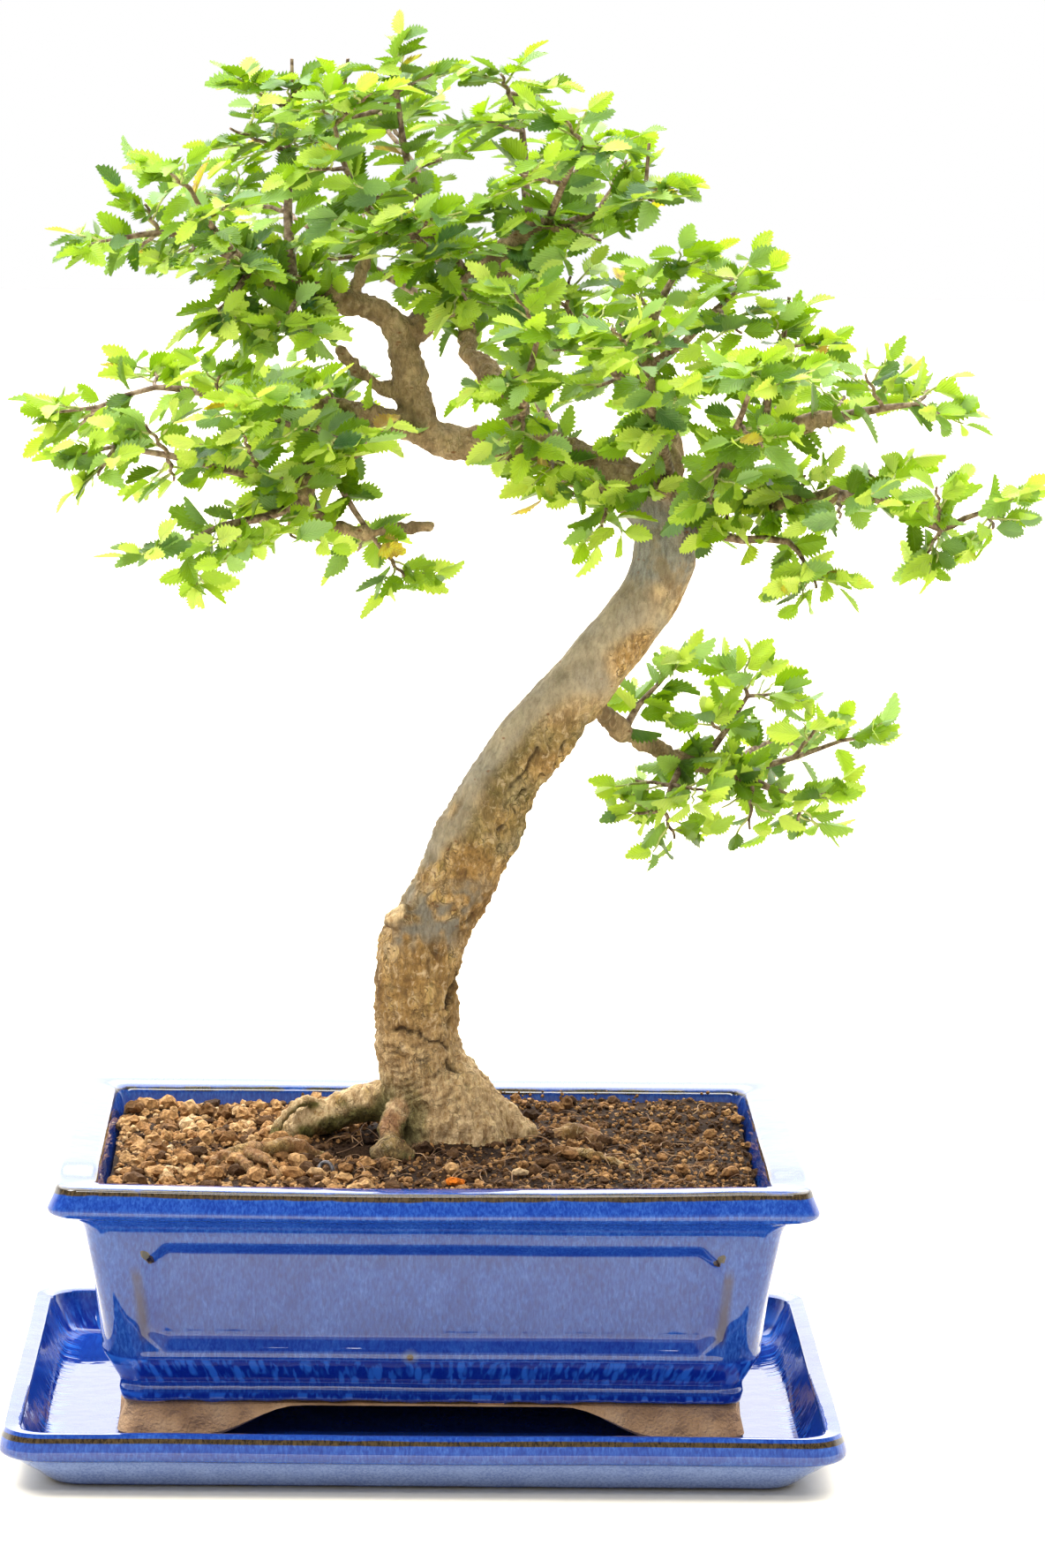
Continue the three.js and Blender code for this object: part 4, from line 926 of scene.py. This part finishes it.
bark, tree, shader = new_material("elm_bark", Roughness=0.8, Specular_IOR_Level=0.25)
grain = mottle(tree, 620, 6, 0.35, Roughness=0.7)
blotch = mottle(tree, 105, 5, 0.6, Roughness=0.62)
flecks = mottle(tree, 360, 4, 0.7, Roughness=0.7, Distortion=0.5)
tan = ramp(blotch, [(0.33, (0.19, 0.1, 0.03)), (0.44, (0.37, 0.215, 0.066)),
                    (0.55, (0.59, 0.375, 0.14)), (0.66, (0.47, 0.325, 0.1)), (0.76, (0.68, 0.47, 0.21))])
tan = mix(spread(grain, 0.36, 0.58), mix(0.65, tan, (0.08, 0.045, 0.018)), tan)
grey = ramp(blotch, [(0.34, (0.2, 0.165, 0.105)), (0.52, (0.33, 0.275, 0.185)),
                     (0.7, (0.43, 0.36, 0.24))])
grey = mix(spread(grain, 0.38, 0.56), mix(0.4, grey, (0.12, 0.085, 0.05)), grey)
colour = mix(attribute(tree, "smooth"), tan, grey)
rough_here = spread(attribute(tree, "smooth"), 0.2, 0.8, 1.0, 0.12)
colour = mix(spread(flecks, 0.46, 0.36, 0.0, 0.75) * rough_here, colour, (0.13, 0.072, 0.028))
colour = mix(spread(flecks, 0.54, 0.66, 0.0, 0.65) * rough_here, colour, (0.74, 0.56, 0.33))
film = mix(spread(grain, 0.4, 0.6), (0.11, 0.11, 0.1), (0.225, 0.235, 0.215))
colour = mix(attribute(tree, "blue") * spread(blotch, 0.4, 0.52) * 0.85, colour, film)
# Scales of bark, with dark cracks between them where they lift
wander = node(tree, "TexNoise", {"Vector": places_in(tree), "Scale": 260, "Detail": 3}, "Color")
bent = node(tree, "VectorMath", {0: wander, "Scale": 0.008}, operation="SCALE")
at = node(tree, "VectorMath", {0: places_in(tree, 0.6), 1: bent}, operation="ADD")
gap = node(tree, "TexVoronoi", {"Vector": at, "Scale": 190}, feature="DISTANCE_TO_EDGE")
height = axis(node(tree, "TexVoronoi", {"Vector": at, "Scale": 190}, "Color"), "X")
lifted = spread(blotch, 0.43, 0.56) * rough_here
crack = spread(gap, 0.07, 0.01, smooth=True) * lifted * spread(grain, 0.42, 0.56, 0.15, 1.0)
colour = mix(spread(height, 0.55, 1.0, 0.0, 0.35) * lifted, colour, (0.62, 0.47, 0.28))
colour = mix(crack * 0.75, colour, (0.09, 0.052, 0.022))
pores = node(tree, "TexVoronoi", {"Vector": places_in(tree, 1.9), "Scale": 160})
pores = spread(pores, 0.19, 0.09) * spread(blotch, 0.47, 0.56)
colour = mix(pores * 0.8, colour, (0.17, 0.06, 0.022))
# What the attributes ask for: ruddy, pale, mossy and dirty places
worn_pale = mix(spread(grain, 0.34, 0.66), (0.36, 0.2, 0.074), (0.98, 0.74, 0.42))
green = mix(spread(grain, 0.4, 0.6), (0.036, 0.052, 0.008), (0.15, 0.17, 0.045))
for name, share, over in [("ruddy", 0.6, (0.26, 0.095, 0.045)), ("pale", 1, worn_pale),
                          ("moss", 0.75, green), ("dark", 0.85, (0.022, 0.013, 0.007))]:
    colour = mix(attribute(tree, name) * share, colour, over)
relief = grain + blotch * 1.2 + flecks * (rough_here * 1.6) - crack * 0.7 + height * (lifted * 0.45)
finish(shader, colour, relief, 0.9, 0.0015)
wood = new_object("tree_trunk_and_limbs", bm, [bark], sharp_angle=180)
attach(wood, "root")
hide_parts("tree_wood")

# Leafy branchlets
# The elm's outer twigs with their alternate, toothed leaves, pinched back into flat pads. Each piece is
# one branchlet from the limb outwards: brown twigs, green young shoots and the leaves on them.
# Name, first and last diameter, points of the stem, and shoots as (where on the stem, tip's x, y, z).
SPRAYS = [
  ["spray_far_left", 5, 2.4, [[-66, -10, 404], [-79, -14, 412], [-93, -18, 414], [-106, -22, 412]],
    [(3, -123, -26, 409), (2, -101, -30, 432), (1, -85, -34, 404), (2, -109, 14, 401)]],
  ["spray_left_riser", 5.5, 2.4,
    [[-48, -1, 395], [-49, 6, 405], [-50, 12, 420], [-50, 16, 440], [-52, 14, 456]],
    [(4, -73, 16, 466), (4, -39, 6, 471), (3, -77, -10, 452), (3, -62, 60, 442),
      (2, -84, 40, 426), (3, -32, -10, 448)]],
  ["spray_left_fore", 4, 2.2, [[-57, -6, 399], [-67, -26, 408], [-76, -44, 420], [-81, -52, 430]],
    [(3, -94, -66, 441), (1, -73, -50, 400), (2, -65, -80, 429)]],
  ["spray_left_fringe", 4.2, 2.4, [[-42, 1, 394], [-47, -14, 390], [-50, -24, 386]],
    [(2, -32, -30, 379), (2, -60, -36, 378), (1, -42, 6, 374)]],
  ["spray_far_fringe", 3.8, 2.2, [[-61, -7, 402], [-66, -15, 396], [-70, -20, 391]],
    [(2, -79, -30, 382), (2, -60, -20, 382)]],
  ["spray_crown_low", 4.6, 2.2, [[6, 18, 390], [4, -6, 400], [0, -28, 408], [-7, -42, 416]],
    [(3, -27, -66, 418), (3, 3, -70, 427), (2, -16, -56, 405), (1, 19, -26, 384),
      (2, 20, -50, 411)]],
  ["spray_crown_top", 5, 2.4, [[-2, 24, 413], [-7, 26, 429], [-11, 26, 445], [-13, 22, 461]],
    [(3, -16, 16, 480), (3, 8, 34, 471), (2, -28, 50, 461), (0, 20, 10, 425)]],
  ["spray_crown_fore", 4.5, 2.2,
    [[-1, 23, 411], [-13, 2, 414], [-23, -22, 424], [-30, -38, 437], [-34, -42, 452]],
    [(4, -45, -56, 468), (4, -16, -70, 468), (3, -48, -64, 438), (2, -16, -64, 432),
      (1, -35, -28, 416)]],
  ["spray_crown_back", 4.5, 2.4, [[3, 24, 402], [0, 48, 419], [-6, 68, 433], [-16, 80, 445]],
    [(3, -35, 104, 456), (3, 0, 110, 456), (2, 22, 80, 442)]],
  ["spray_top_right", 4, 2.6, [[44, -2, 417], [56, -8, 423], [69, -14, 429]],
    [(2, 87, -20, 435), (2, 76, -40, 426), (1, 70, 0, 449), (0, 61, -34, 412)]],
  ["spray_top_riser", 4.5, 2.4, [[33, 5, 415], [31, 14, 431], [30, 20, 448], [25, 20, 461]],
    [(3, 20, 6, 473), (3, 45, 34, 459), (2, 11, -24, 455)]],
  ["spray_top_fore", 3.6, 2.4, [[38, 1, 416], [43, -22, 432], [49, -36, 446]],
    [(2, 37, -50, 462), (2, 66, -60, 445), (1, 19, -58, 439)]],
  ["spray_rear_top", 4.5, 2.6, [[28, 76, 399], [41, 84, 416], [50, 84, 431]],
    [(2, 65, 84, 446), (2, 38, 116, 444), (1, 67, 106, 413)]],
  ["spray_rear_left", 5, 2.4, [[14, 56, 377], [-6, 78, 389], [-28, 92, 400], [-47, 98, 412]],
    [(3, -63, 124, 422), (2, -22, 128, 422), (2, -50, 84, 398)]],
  ["spray_low_left", 5, 2.2, [[-58, -18, 332], [-73, -24, 336], [-89, -30, 340], [-107, -34, 343]],
    [(3, -127, -40, 339), (3, -115, -56, 329), (2, -100, -52, 358), (2, -87, -4, 324),
      (0, -65, -62, 354)]],
  ["spray_low_fore", 5, 2.2, [[-45, -14, 323], [-56, -26, 319], [-71, -38, 317], [-84, -44, 311]],
    [(3, -106, -56, 308), (3, -75, -46, 290), (2, -58, -66, 307), (1, -41, -62, 313)]],
  ["spray_low_twig", 3.2, 2.2, [[-35, -5, 337], [-30, -10, 326], [-22, -12, 314], [-15, -14, 305]],
    [(3, -4, -26, 293), (2, -27, 12, 299)]],
  ["spray_low_rear", 4, 2.2, [[-55, 32, 349], [-75, 40, 354], [-96, 42, 357], [-116, 40, 350]],
    [(3, -141, 36, 347), (3, -130, 70, 335), (2, -97, 66, 367), (1, -73, 30, 372),
      (0, -48, 4, 365)]],
  ["spray_low_back", 4, 2.4, [[-37, 18, 347], [-49, 52, 350], [-62, 80, 352]],
    [(2, -85, 112, 357), (2, -50, 116, 357), (1, -27, 70, 355)]],
  ["spray_low_front", 4, 2.4, [[-29, -2, 341], [-42, -26, 348], [-56, -46, 355]],
    [(2, -70, -80, 365), (2, -44, -86, 365), (1, -15, -56, 346)]],
  ["spray_middle_top", 6, 3, [[74, 30, 370], [77, 32, 385], [84, 32, 399]],
    [(2, 91, 24, 406), (2, 77, 60, 400), (1, 63, 10, 400)]],
  ["spray_middle_left", 5, 2.6, [[77, 28, 354], [65, 16, 364], [54, 4, 376], [45, -4, 390]],
    [(3, 29, -14, 398), (3, 47, -24, 408), (2, 35, -30, 376), (1, 46, 40, 355)]],
  ["spray_middle_right", 4.5, 2.2, [[75, 30, 367], [87, 16, 377], [97, 6, 389], [103, 0, 395]],
    [(3, 110, -10, 399), (3, 101, 30, 403), (2, 107, -30, 380)]],
  ["spray_middle_back", 7, 2.8, [[81, 27, 340], [77, 58, 349], [70, 88, 359], [64, 110, 372]],
    [(3, 49, 132, 383), (3, 81, 140, 383), (2, 49, 120, 355)]],
  ["spray_middle_fore", 6, 2.6, [[82, 18, 331], [78, -10, 345], [72, -38, 362], [67, -56, 378]],
    [(3, 54, -86, 392), (3, 77, -88, 386), (2, 93, -60, 367), (1, 62, -40, 346)]],
  ["spray_limb_back", 6.5, 2.6, [[46, 22, 334], [41, 50, 345], [36, 80, 358], [34, 100, 372]],
    [(3, 23, 124, 386), (3, 42, 130, 380), (2, 17, 110, 352)]],
  ["spray_limb_fore", 5.5, 2.4, [[29, 17, 339], [30, -12, 353], [32, -38, 369], [35, -52, 385]],
    [(3, 21, -65, 406), (3, 42, -84, 386), (2, 14, -58, 366), (1, 33, -30, 334)]],
  ["spray_right_end", 4.5, 2.2, [[137, -6, 353], [153, -12, 357], [165, -16, 359]],
    [(2, 178, -24, 353), (2, 173, 6, 366), (1, 142, -30, 377), (0, 145, 40, 359)]],
  ["spray_right_riser", 4.5, 2.6, [[114, 4, 347], [115, 0, 362], [117, -4, 376]],
    [(2, 121, -10, 389), (2, 140, -20, 382), (1, 99, -4, 372)]],
  ["spray_right_rear", 5, 2.4, [[101, 12, 333], [111, 40, 341], [122, 68, 349], [131, 86, 359]],
    [(3, 147, 110, 367), (3, 119, 116, 366), (2, 149, 88, 343)]],
  ["spray_right_fore", 5, 2.4, [[95, 12, 327], [98, -18, 340], [102, -46, 354], [105, -62, 367]],
    [(3, 94, -92, 381), (3, 117, -96, 373), (2, 113, -74, 345), (1, 92, -36, 317)]],
  ["spray_far_right", 4.5, 2.2,
    [[139, -10, 327], [154, -16, 326], [173, -22, 317], [181, -24, 321], [189, -26, 324]],
    [(4, 204, -28, 331), (4, 190, -40, 314), (2, 168, -50, 340), (2, 165, -24, 302),
      (1, 150, 24, 336), (0, 137, -44, 319)]],
  ["spray_hanging", 4.5, 2.2, [[93, 16, 312], [107, 2, 310], [122, -12, 311], [127, -20, 305]],
    [(3, 134, -30, 290), (3, 117, -34, 294)]],
  ["spray_lowest_end", 3.6, 2.6, [[115, 54, 219], [132, 54, 212]],
    [(1, 148, 44, 219), (1, 133, 62, 196), (0, 114, 44, 192)]],
  ["spray_lowest_up", 4, 2.4, [[96, 51, 224], [105, 54, 236], [113, 54, 249]],
    [(2, 107, 50, 265), (2, 134, 60, 250), (1, 91, 30, 248)]],
  ["spray_lowest_rise", 3.6, 2.2, [[69, 36, 239], [74, 42, 247], [81, 46, 254]],
    [(2, 92, 46, 267), (1, 79, 66, 247)]],
  ["spray_lowest_out", 3.4, 2.2, [[108, 53, 221], [130, 62, 226], [148, 66, 232]],
    [(2, 166, 70, 234), (1, 145, 50, 248)]],
  ["spray_lowest_down", 3.4, 2.2, [[91, 49, 226], [86, 40, 219], [83, 32, 211]],
    [(2, 64, 20, 211), (2, 90, 26, 194), (1, 64, 52, 220), (1, 103, 14, 220)]],
  ["spray_lowest_back", 3.2, 2.2, [[106, 53, 222], [116, 80, 226], [127, 98, 228]],
    [(2, 141, 124, 220), (1, 107, 90, 208)]],
]
DEAD_TIPS = {"spray_left_riser": [(-52, 14, 446), (-49, 10, 472)],
             "spray_crown_top": [(-28, 24, 452), (-30, 20, 472)],
             "spray_top_right": [(69, -14, 427), (72, -16, 446)],
             "spray_right_riser": [(117, -4, 374), (121, -6, 394)]}
LIMB_SHOOTS = {  # shoots that break from old wood near a branchlet's foot, as where from and where to
    "spray_right_fore": [[(106, 7, 323), (112, -22, 334)], [(115, 2, 323), (122, -26, 318)],
                         [(125, -2, 325), (128, -26, 340)], [(100, 9, 326), (104, -18, 308)]],
    "spray_middle_fore": [[(76, 20, 326), (64, -6, 325)]],
    "spray_limb_fore": [[(40, 18, 338), (44, -8, 329)], [(50, 18, 335), (48, -12, 321)],
                        [(62, 16, 328), (56, -2, 299)]],
    "spray_low_front": [[(-30, -2, 341), (-38, -26, 336)]],
    "spray_low_left": [[(-50, -15, 329), (-66, -10, 318)], [(-46, -12, 324), (-52, -36, 336)]],
    "spray_low_back": [[(-42, 22, 348), (-62, 14, 342)], [(-30, 12, 348), (-40, 30, 366)]],
    "spray_crown_low": [[(6, 18, 389), (14, -8, 398)]],
    "spray_far_left": [[(-57, -6, 400), (-62, 14, 414)], [(-45, -1, 395), (-58, 22, 404)]]}
CROWN_MIDDLE = Vector((20, 25, 330))
FIRST_SEED = 100
SPUR_SEEDS = 500  # the seeds of spurs and of shoots from old wood lie this far above
LIMB_SEEDS = 900
LEAF_COLUMNS = 9
PETIOLE = 0.11
LEAF_THICKNESS = 0.022
LEAF_KINDS = [  # curl, fold, wave
    (0.05, 0.18, 0.02), (0.16, 0.3, -0.03), (0.1, 0.1, 0.035), (0.26, 0.22, 0.02), (-0.04, 0.36, -0.02)]
SIDE_TWIGS = (0.24, 0.46, 0.68)
LEAF_EVERY = 4.4
SPUR_EVERY = 6.2
SKIPPED_LEAVES = 0.07
SKIPPED_ON_RIGHT = 0.18
TURNED_LEAVES = 0.008
TURNED_TINTS = [0.97, 0.97, 1.0]  # yellow, yellow, brown
COOL_LEAVES = 0.36


def make_draw(seed):
    """Seeded draws, the same as the solids' own."""
    state = [seed]

    def draw(low=0.0, high=1.0):
        state[0] = state[0] * 16807 % 2147483647
        return low + (high - low) * state[0] / 2147483647

    return draw


def make_leaf(name, curl, fold, wave):
    """A leaf one unit long and one wide: a strip whose long edges are cut once more between its ribs and
    pulled out to teeth. Its under side is the same sheet, joined at the edge and lower at the midrib."""
    bm = bmesh.new()
    bmesh.ops.create_grid(bm, x_segments=LEAF_COLUMNS, y_segments=2, size=0.5)
    rim = [edge for edge in bm.edges if all(abs(vert.co.y) > 0.49 for vert in edge.verts)
           and min(vert.co.x for vert in edge.verts) > -0.5 + 0.9 / LEAF_COLUMNS]
    bmesh.ops.subdivide_edges(bm, edges=rim, cuts=1)
    uv = bm.loops.layers.uv.new("leaf")
    for vert in bm.verts:
        column = (vert.co.x + 0.5) * LEAF_COLUMNS
        is_tooth = abs(column - round(column)) > 0.25
        across = 2 * vert.co.y
        if column < 0.5:
            along, reach = 0.0, 0.03
        else:
            blade = min(max((column - 1) / (LEAF_COLUMNS - 1), 0), 1)
            along = PETIOLE + (1 - PETIOLE) * (blade + (0.045 if is_tooth else 0))
            reach = 0.03 + 2.32 * blade ** 0.6 * (1 - blade) ** 0.84
            reach *= 1.2 if is_tooth else 0.84
        side = 0.5 * reach * across
        lift = fold * abs(side) - curl * along * along
        lift += wave * math.sin(9 * along + 2 * across) * abs(across) * reach
        vert.co = (along, side, lift)
    for face in bm.faces:
        face.material_index = 1
        for loop in face.loops:
            loop[uv].uv = (loop.vert.co.x, 0.5 + loop.vert.co.y)
    bmesh.ops.remove_doubles(bm, verts=bm.verts, dist=0.002)
    bmesh.ops.recalc_face_normals(bm, faces=bm.faces)
    if sum(face.normal.z for face in bm.faces) < 0:
        bmesh.ops.reverse_faces(bm, faces=bm.faces)
    under = bm.verts.layers.float.new("under")
    copied = bmesh.ops.duplicate(bm, geom=bm.faces[:])["geom"]
    below = [part for part in copied if isinstance(part, bmesh.types.BMFace)]
    bmesh.ops.reverse_faces(bm, faces=below)
    for vert in {vert for face in below for vert in face.verts}:
        vert[under] = 1
        if not vert.is_boundary:
            vert.co.z -= LEAF_THICKNESS
    bmesh.ops.remove_doubles(bm, verts=bm.verts, dist=1e-6)
    return Copies(bm, name)


def make_leaf_material():
    """Leathery glossy green, paler below, with a light midrib and side veins sunk between soft ridges.
    Each leaf's own tint runs from old dark green to young yellow-green, and a few are yellow or brown."""
    material, tree, shader = new_material("elm_leaf", Roughness=0.28, Specular_IOR_Level=0.28)
    place = node(tree, "UVMap", {}, uv_map="leaf")
    side = calculate("ABSOLUTE", axis(place, "Y") - 0.5)
    midrib = spread(side, 0.035, 0.008, smooth=True)
    ridge = calculate("PINGPONG", axis(place, "X") * 9.5 - side * 9.0, 0.5)
    vein = spread(ridge, 0.09, 0.02, smooth=True)
    tint = attribute(tree, "tint")
    green = ramp(tint + (mottle(tree, 260) - 0.5) * 0.16, [
        (0.0, (0.042, 0.14, 0.004)), (0.22, (0.14, 0.3, 0.006)), (0.45, (0.35, 0.56, 0.014)),
        (0.7, (0.56, 0.735, 0.08)), (0.9, (0.73, 0.84, 0.19)), (0.96, (0.88, 0.68, 0.04)),
        (1.0, (0.42, 0.17, 0.05))])
    # Cool leaves are a bluer green, paled towards white: partly their own colour and partly a painted sheen
    # of their gloss
    cool_green_and_sheen = mix(spread(tint, 0.0, 0.6), (0.044, 0.15, 0.07), (0.36, 0.55, 0.26))
    green = mix(attribute(tree, "cool"), green, cool_green_and_sheen)
    pale = mix(0.35, green, (0.42, 0.58, 0.2))
    colour = mix(calculate("MAXIMUM", midrib, vein * 0.45) * 0.55, green, pale)
    colour = mix(attribute(tree, "under") * 0.5, colour, pale)
    relief = spread(ridge, 0.0, 0.28, smooth=True) - midrib * 0.6
    bump = finish(shader, colour, relief, 0.35, 0.0005)
    light = mix(0.45, colour, (0.74, 0.86, 0.04))
    through = node(tree, "BsdfTranslucent", {"Color": light, "Normal": bump})
    both = node(tree, "MixShader", {0: 0.54, 1: Output(tree, shader, 0), 2: through})
    tree.links.new(both.socket, tree.nodes["Material Output"].inputs["Surface"])
    return material


def make_twig_material():
    """Twig bark: grey-brown with pale pores on old wood, yellow-green and smooth on this year's shoots."""
    material, tree, shader = new_material("elm_twig", Roughness=0.7)
    grain = mottle(tree, 480, 4)
    brown = ramp(grain, [(0.35, (0.075, 0.042, 0.022)), (0.5, (0.185, 0.12, 0.07)),
                         (0.66, (0.34, 0.25, 0.165))])
    green = ramp(grain, [(0.35, (0.28, 0.33, 0.07)), (0.6, (0.56, 0.62, 0.2))])
    finish(shader, mix(attribute(tree, "tint"), brown, green), grain, 0.5, 0.0004)
    return material


def draw_leaf(draw, at, axis, side, scale):
    """Where a leaf sits and how it is turned, from its place on the shoot."""
    outward = (at - CROWN_MIDDLE).normalized()
    opening = math.radians(draw(50, 75))
    along = axis * math.cos(opening) + side * math.sin(opening)
    along.z += draw(-0.25, 0.25)
    along.normalize()
    face = outward * 0.8
    face.x += draw(-0.85, 0.85)
    face.y += draw(-0.85, 0.85)
    face.z += draw(-0.85, 0.85) + 0.5
    face = (face - along * face.dot(along)).normalized()
    length = scale * draw(13, 18.5)
    width = draw(0.5, 0.6)
    draw(0.02, 0.14)  # the solids draw a curl here, so the draws that follow stay the same as theirs
    return at, along, face.cross(along), face, length, width


def row_of_leaves(draw, pointed, axis, side, count, first, spacing, scale, shrink):
    """Leaves on alternate sides of a shoot."""
    leaves = []
    hand = 1 if draw() > 0.5 else -1
    for i in range(count):
        share = first + spacing * i / max(count - 1, 1)
        leaves.append(draw_leaf(draw, pointed(share), axis, side * hand, scale - shrink * share))
        hand = -hand
    return leaves, hand


def grow_shoot(foot, reach, seed):
    """A shoot and its side twigs: paths with radii, and leaves with a share of how young each is."""
    draw = make_draw(seed)
    full = (reach - foot).length
    axis = (reach - foot).normalized()
    length = max(full - 11, 0.55 * full)
    tip = foot + axis * length
    up = Vector((draw(-0.3, 0.3), draw(-0.3, 0.3), 1))
    side = axis.cross(up).normalized()
    count = max(3, round(length / LEAF_EVERY))
    leaves, hand = row_of_leaves(draw, lambda k: foot.lerp(tip, k), axis, side, count, 0.28, 0.66, 1.05, 0.25)
    leaves.append(draw_leaf(draw, foot.lerp(tip, 1 - 0.8 / length), axis, side * (0.3 * hand), 0.95))
    wood = [zigzag(foot, tip, side, count, 0.85, 0.45)]
    grown = [(leaf, 0.15 + 0.45 * i / count) for i, leaf in enumerate(leaves)]
    for number, share in enumerate(SIDE_TWIGS):
        start = foot.lerp(tip, share)
        lean = hand * (-1) ** number * draw(0.8, 1.3)
        out = axis + side * lean
        out.z += 0.55 * draw(-0.7, 1.0)
        out.normalize()
        reach_out = max(12, length * draw(0.5, 0.72))
        end = start + out * reach_out
        twig_side = out.cross(up).normalized()
        several = max(2, round(reach_out / LEAF_EVERY))
        more, turn = row_of_leaves(draw, lambda k: start.lerp(end, k), out, twig_side, several, 0.35, 0.58,
                                   0.98, 0.2)
        more.append(draw_leaf(draw, end, out, twig_side * (0.3 * turn), 0.88))
        wood.append(zigzag(start, end, twig_side, several, 0.5, 0.3))
        grown += [(leaf, 0.3 + 0.6 * i / several) for i, leaf in enumerate(more)]
    return wood, grown


def grow_spurs(stem, draw):
    """Pairs of leaves on short spurs along the stem itself."""
    grown = []
    for low, high in zip(stem, stem[1:]):
        axis = (high - low).normalized()
        for i in range(round((high - low).length / SPUR_EVERY)):
            at = low.lerp(high, draw())
            around = Matrix.Rotation(draw(0, math.tau), 3, axis)
            side = around @ axis.orthogonal().normalized()
            for hand in (1, -1):
                grown.append((draw_leaf(draw, at + side * 1.2, axis, side * hand, 0.92), draw(0.0, 0.5)))
    return grown


def zigzag(start, end, side, bends, thick, thin):
    """Elm shoots change direction a little at each leaf."""
    points = []
    for i in range(bends + 2):
        share = i / (bends + 1)
        sway = side * (0.5 * (-1) ** i if 0 < i <= bends else 0)
        points.append((*(start.lerp(end, share) + sway), thick + (thin - thick) * share))
    return points


def add_tubes(bm, name, paths, tint, sides):
    mesh = tubes(name, paths, sides=sides, steps=2)
    layer = mesh.attributes.new("tint", "FLOAT", "POINT")
    layer.data.foreach_set("value", [tint] * len(mesh.vertices))
    bm.from_mesh(mesh)


leaf_kinds = [make_leaf(f"leaf_{i}", *bend) for i, bend in enumerate(LEAF_KINDS)]
leaf_material = make_leaf_material()
twig_material = make_twig_material()
rng = Random(7)
seed = FIRST_SEED
for name, first, last, stem, shoots in SPRAYS:
    bm = bmesh.new()
    stem = [Vector(at) for at in stem]
    brown = [tapered(0.85 * first, 0.65 * last, stem)]
    young = []
    limbs = [points for _, _, points in LIMBS if (Vector(points[-1]) - stem[0]).length < 14]
    limb_end = [Vector(at) for at in limbs[0][-3:]] if limbs else []
    leaves = grow_spurs(limb_end + stem, make_draw(seed + SPUR_SEEDS))
    starts = [(stem[point], Vector(reach), seed + i) for i, (point, *reach) in enumerate(shoots)]
    seed += len(shoots)
    starts += [(Vector(start), Vector(reach), seed + LIMB_SEEDS + i)
               for i, (start, reach) in enumerate(LIMB_SHOOTS.get(name, []))]
    for start, reach, shoot_seed in starts:
        wood, grown = grow_shoot(start, reach, shoot_seed)
        brown.append(wood[0])
        young += wood[1:]
        leaves += grown
    if name in DEAD_TIPS:
        brown.append(tapered(2.4, 1.2, [stem[-1], *map(Vector, DEAD_TIPS[name])]))
    add_tubes(bm, name + "_wood", brown, 0.0, 2)
    add_tubes(bm, name + "_young", young, 0.8, 1)
    for (at, along, across, face, length, width), age in leaves:
        # The right side is pinched back harder and carries fewer leaves
        if rng.random() < (SKIPPED_ON_RIGHT if at.x > 30 else SKIPPED_LEAVES):
            continue
        length *= 0.97 - 0.3 * max(age - 0.5, 0)
        # Leaves lower in the crown are tinted paler to lift them out of the crown's shade: painted light
        tint = 0.14 + 0.12 * ease(at.z, 430, 330) + 0.6 * age + rng.gauss(0, 0.22)
        tint = min(max(tint, 0.0), 0.88)
        if rng.random() < TURNED_LEAVES:
            tint = rng.choice(TURNED_TINTS)
        turned = Matrix((along * length, across * length * width, face * length)).transposed().to_4x4()
        place = Matrix.Translation(at * MM) @ Matrix.Scale(MM, 4) @ turned
        is_cool = rng.random() < COOL_LEAVES and tint < 0.7
        cool = rng.uniform(0.5, 1.0) if is_cool else rng.uniform(0, 0.12)
        rng.choice(leaf_kinds).add(bm, place, tint=tint, cool=cool)
    branchlet = new_object(name.replace("spray", "branchlet"), bm, [twig_material, leaf_material], 60)
    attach(branchlet, "root")
    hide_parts(name)
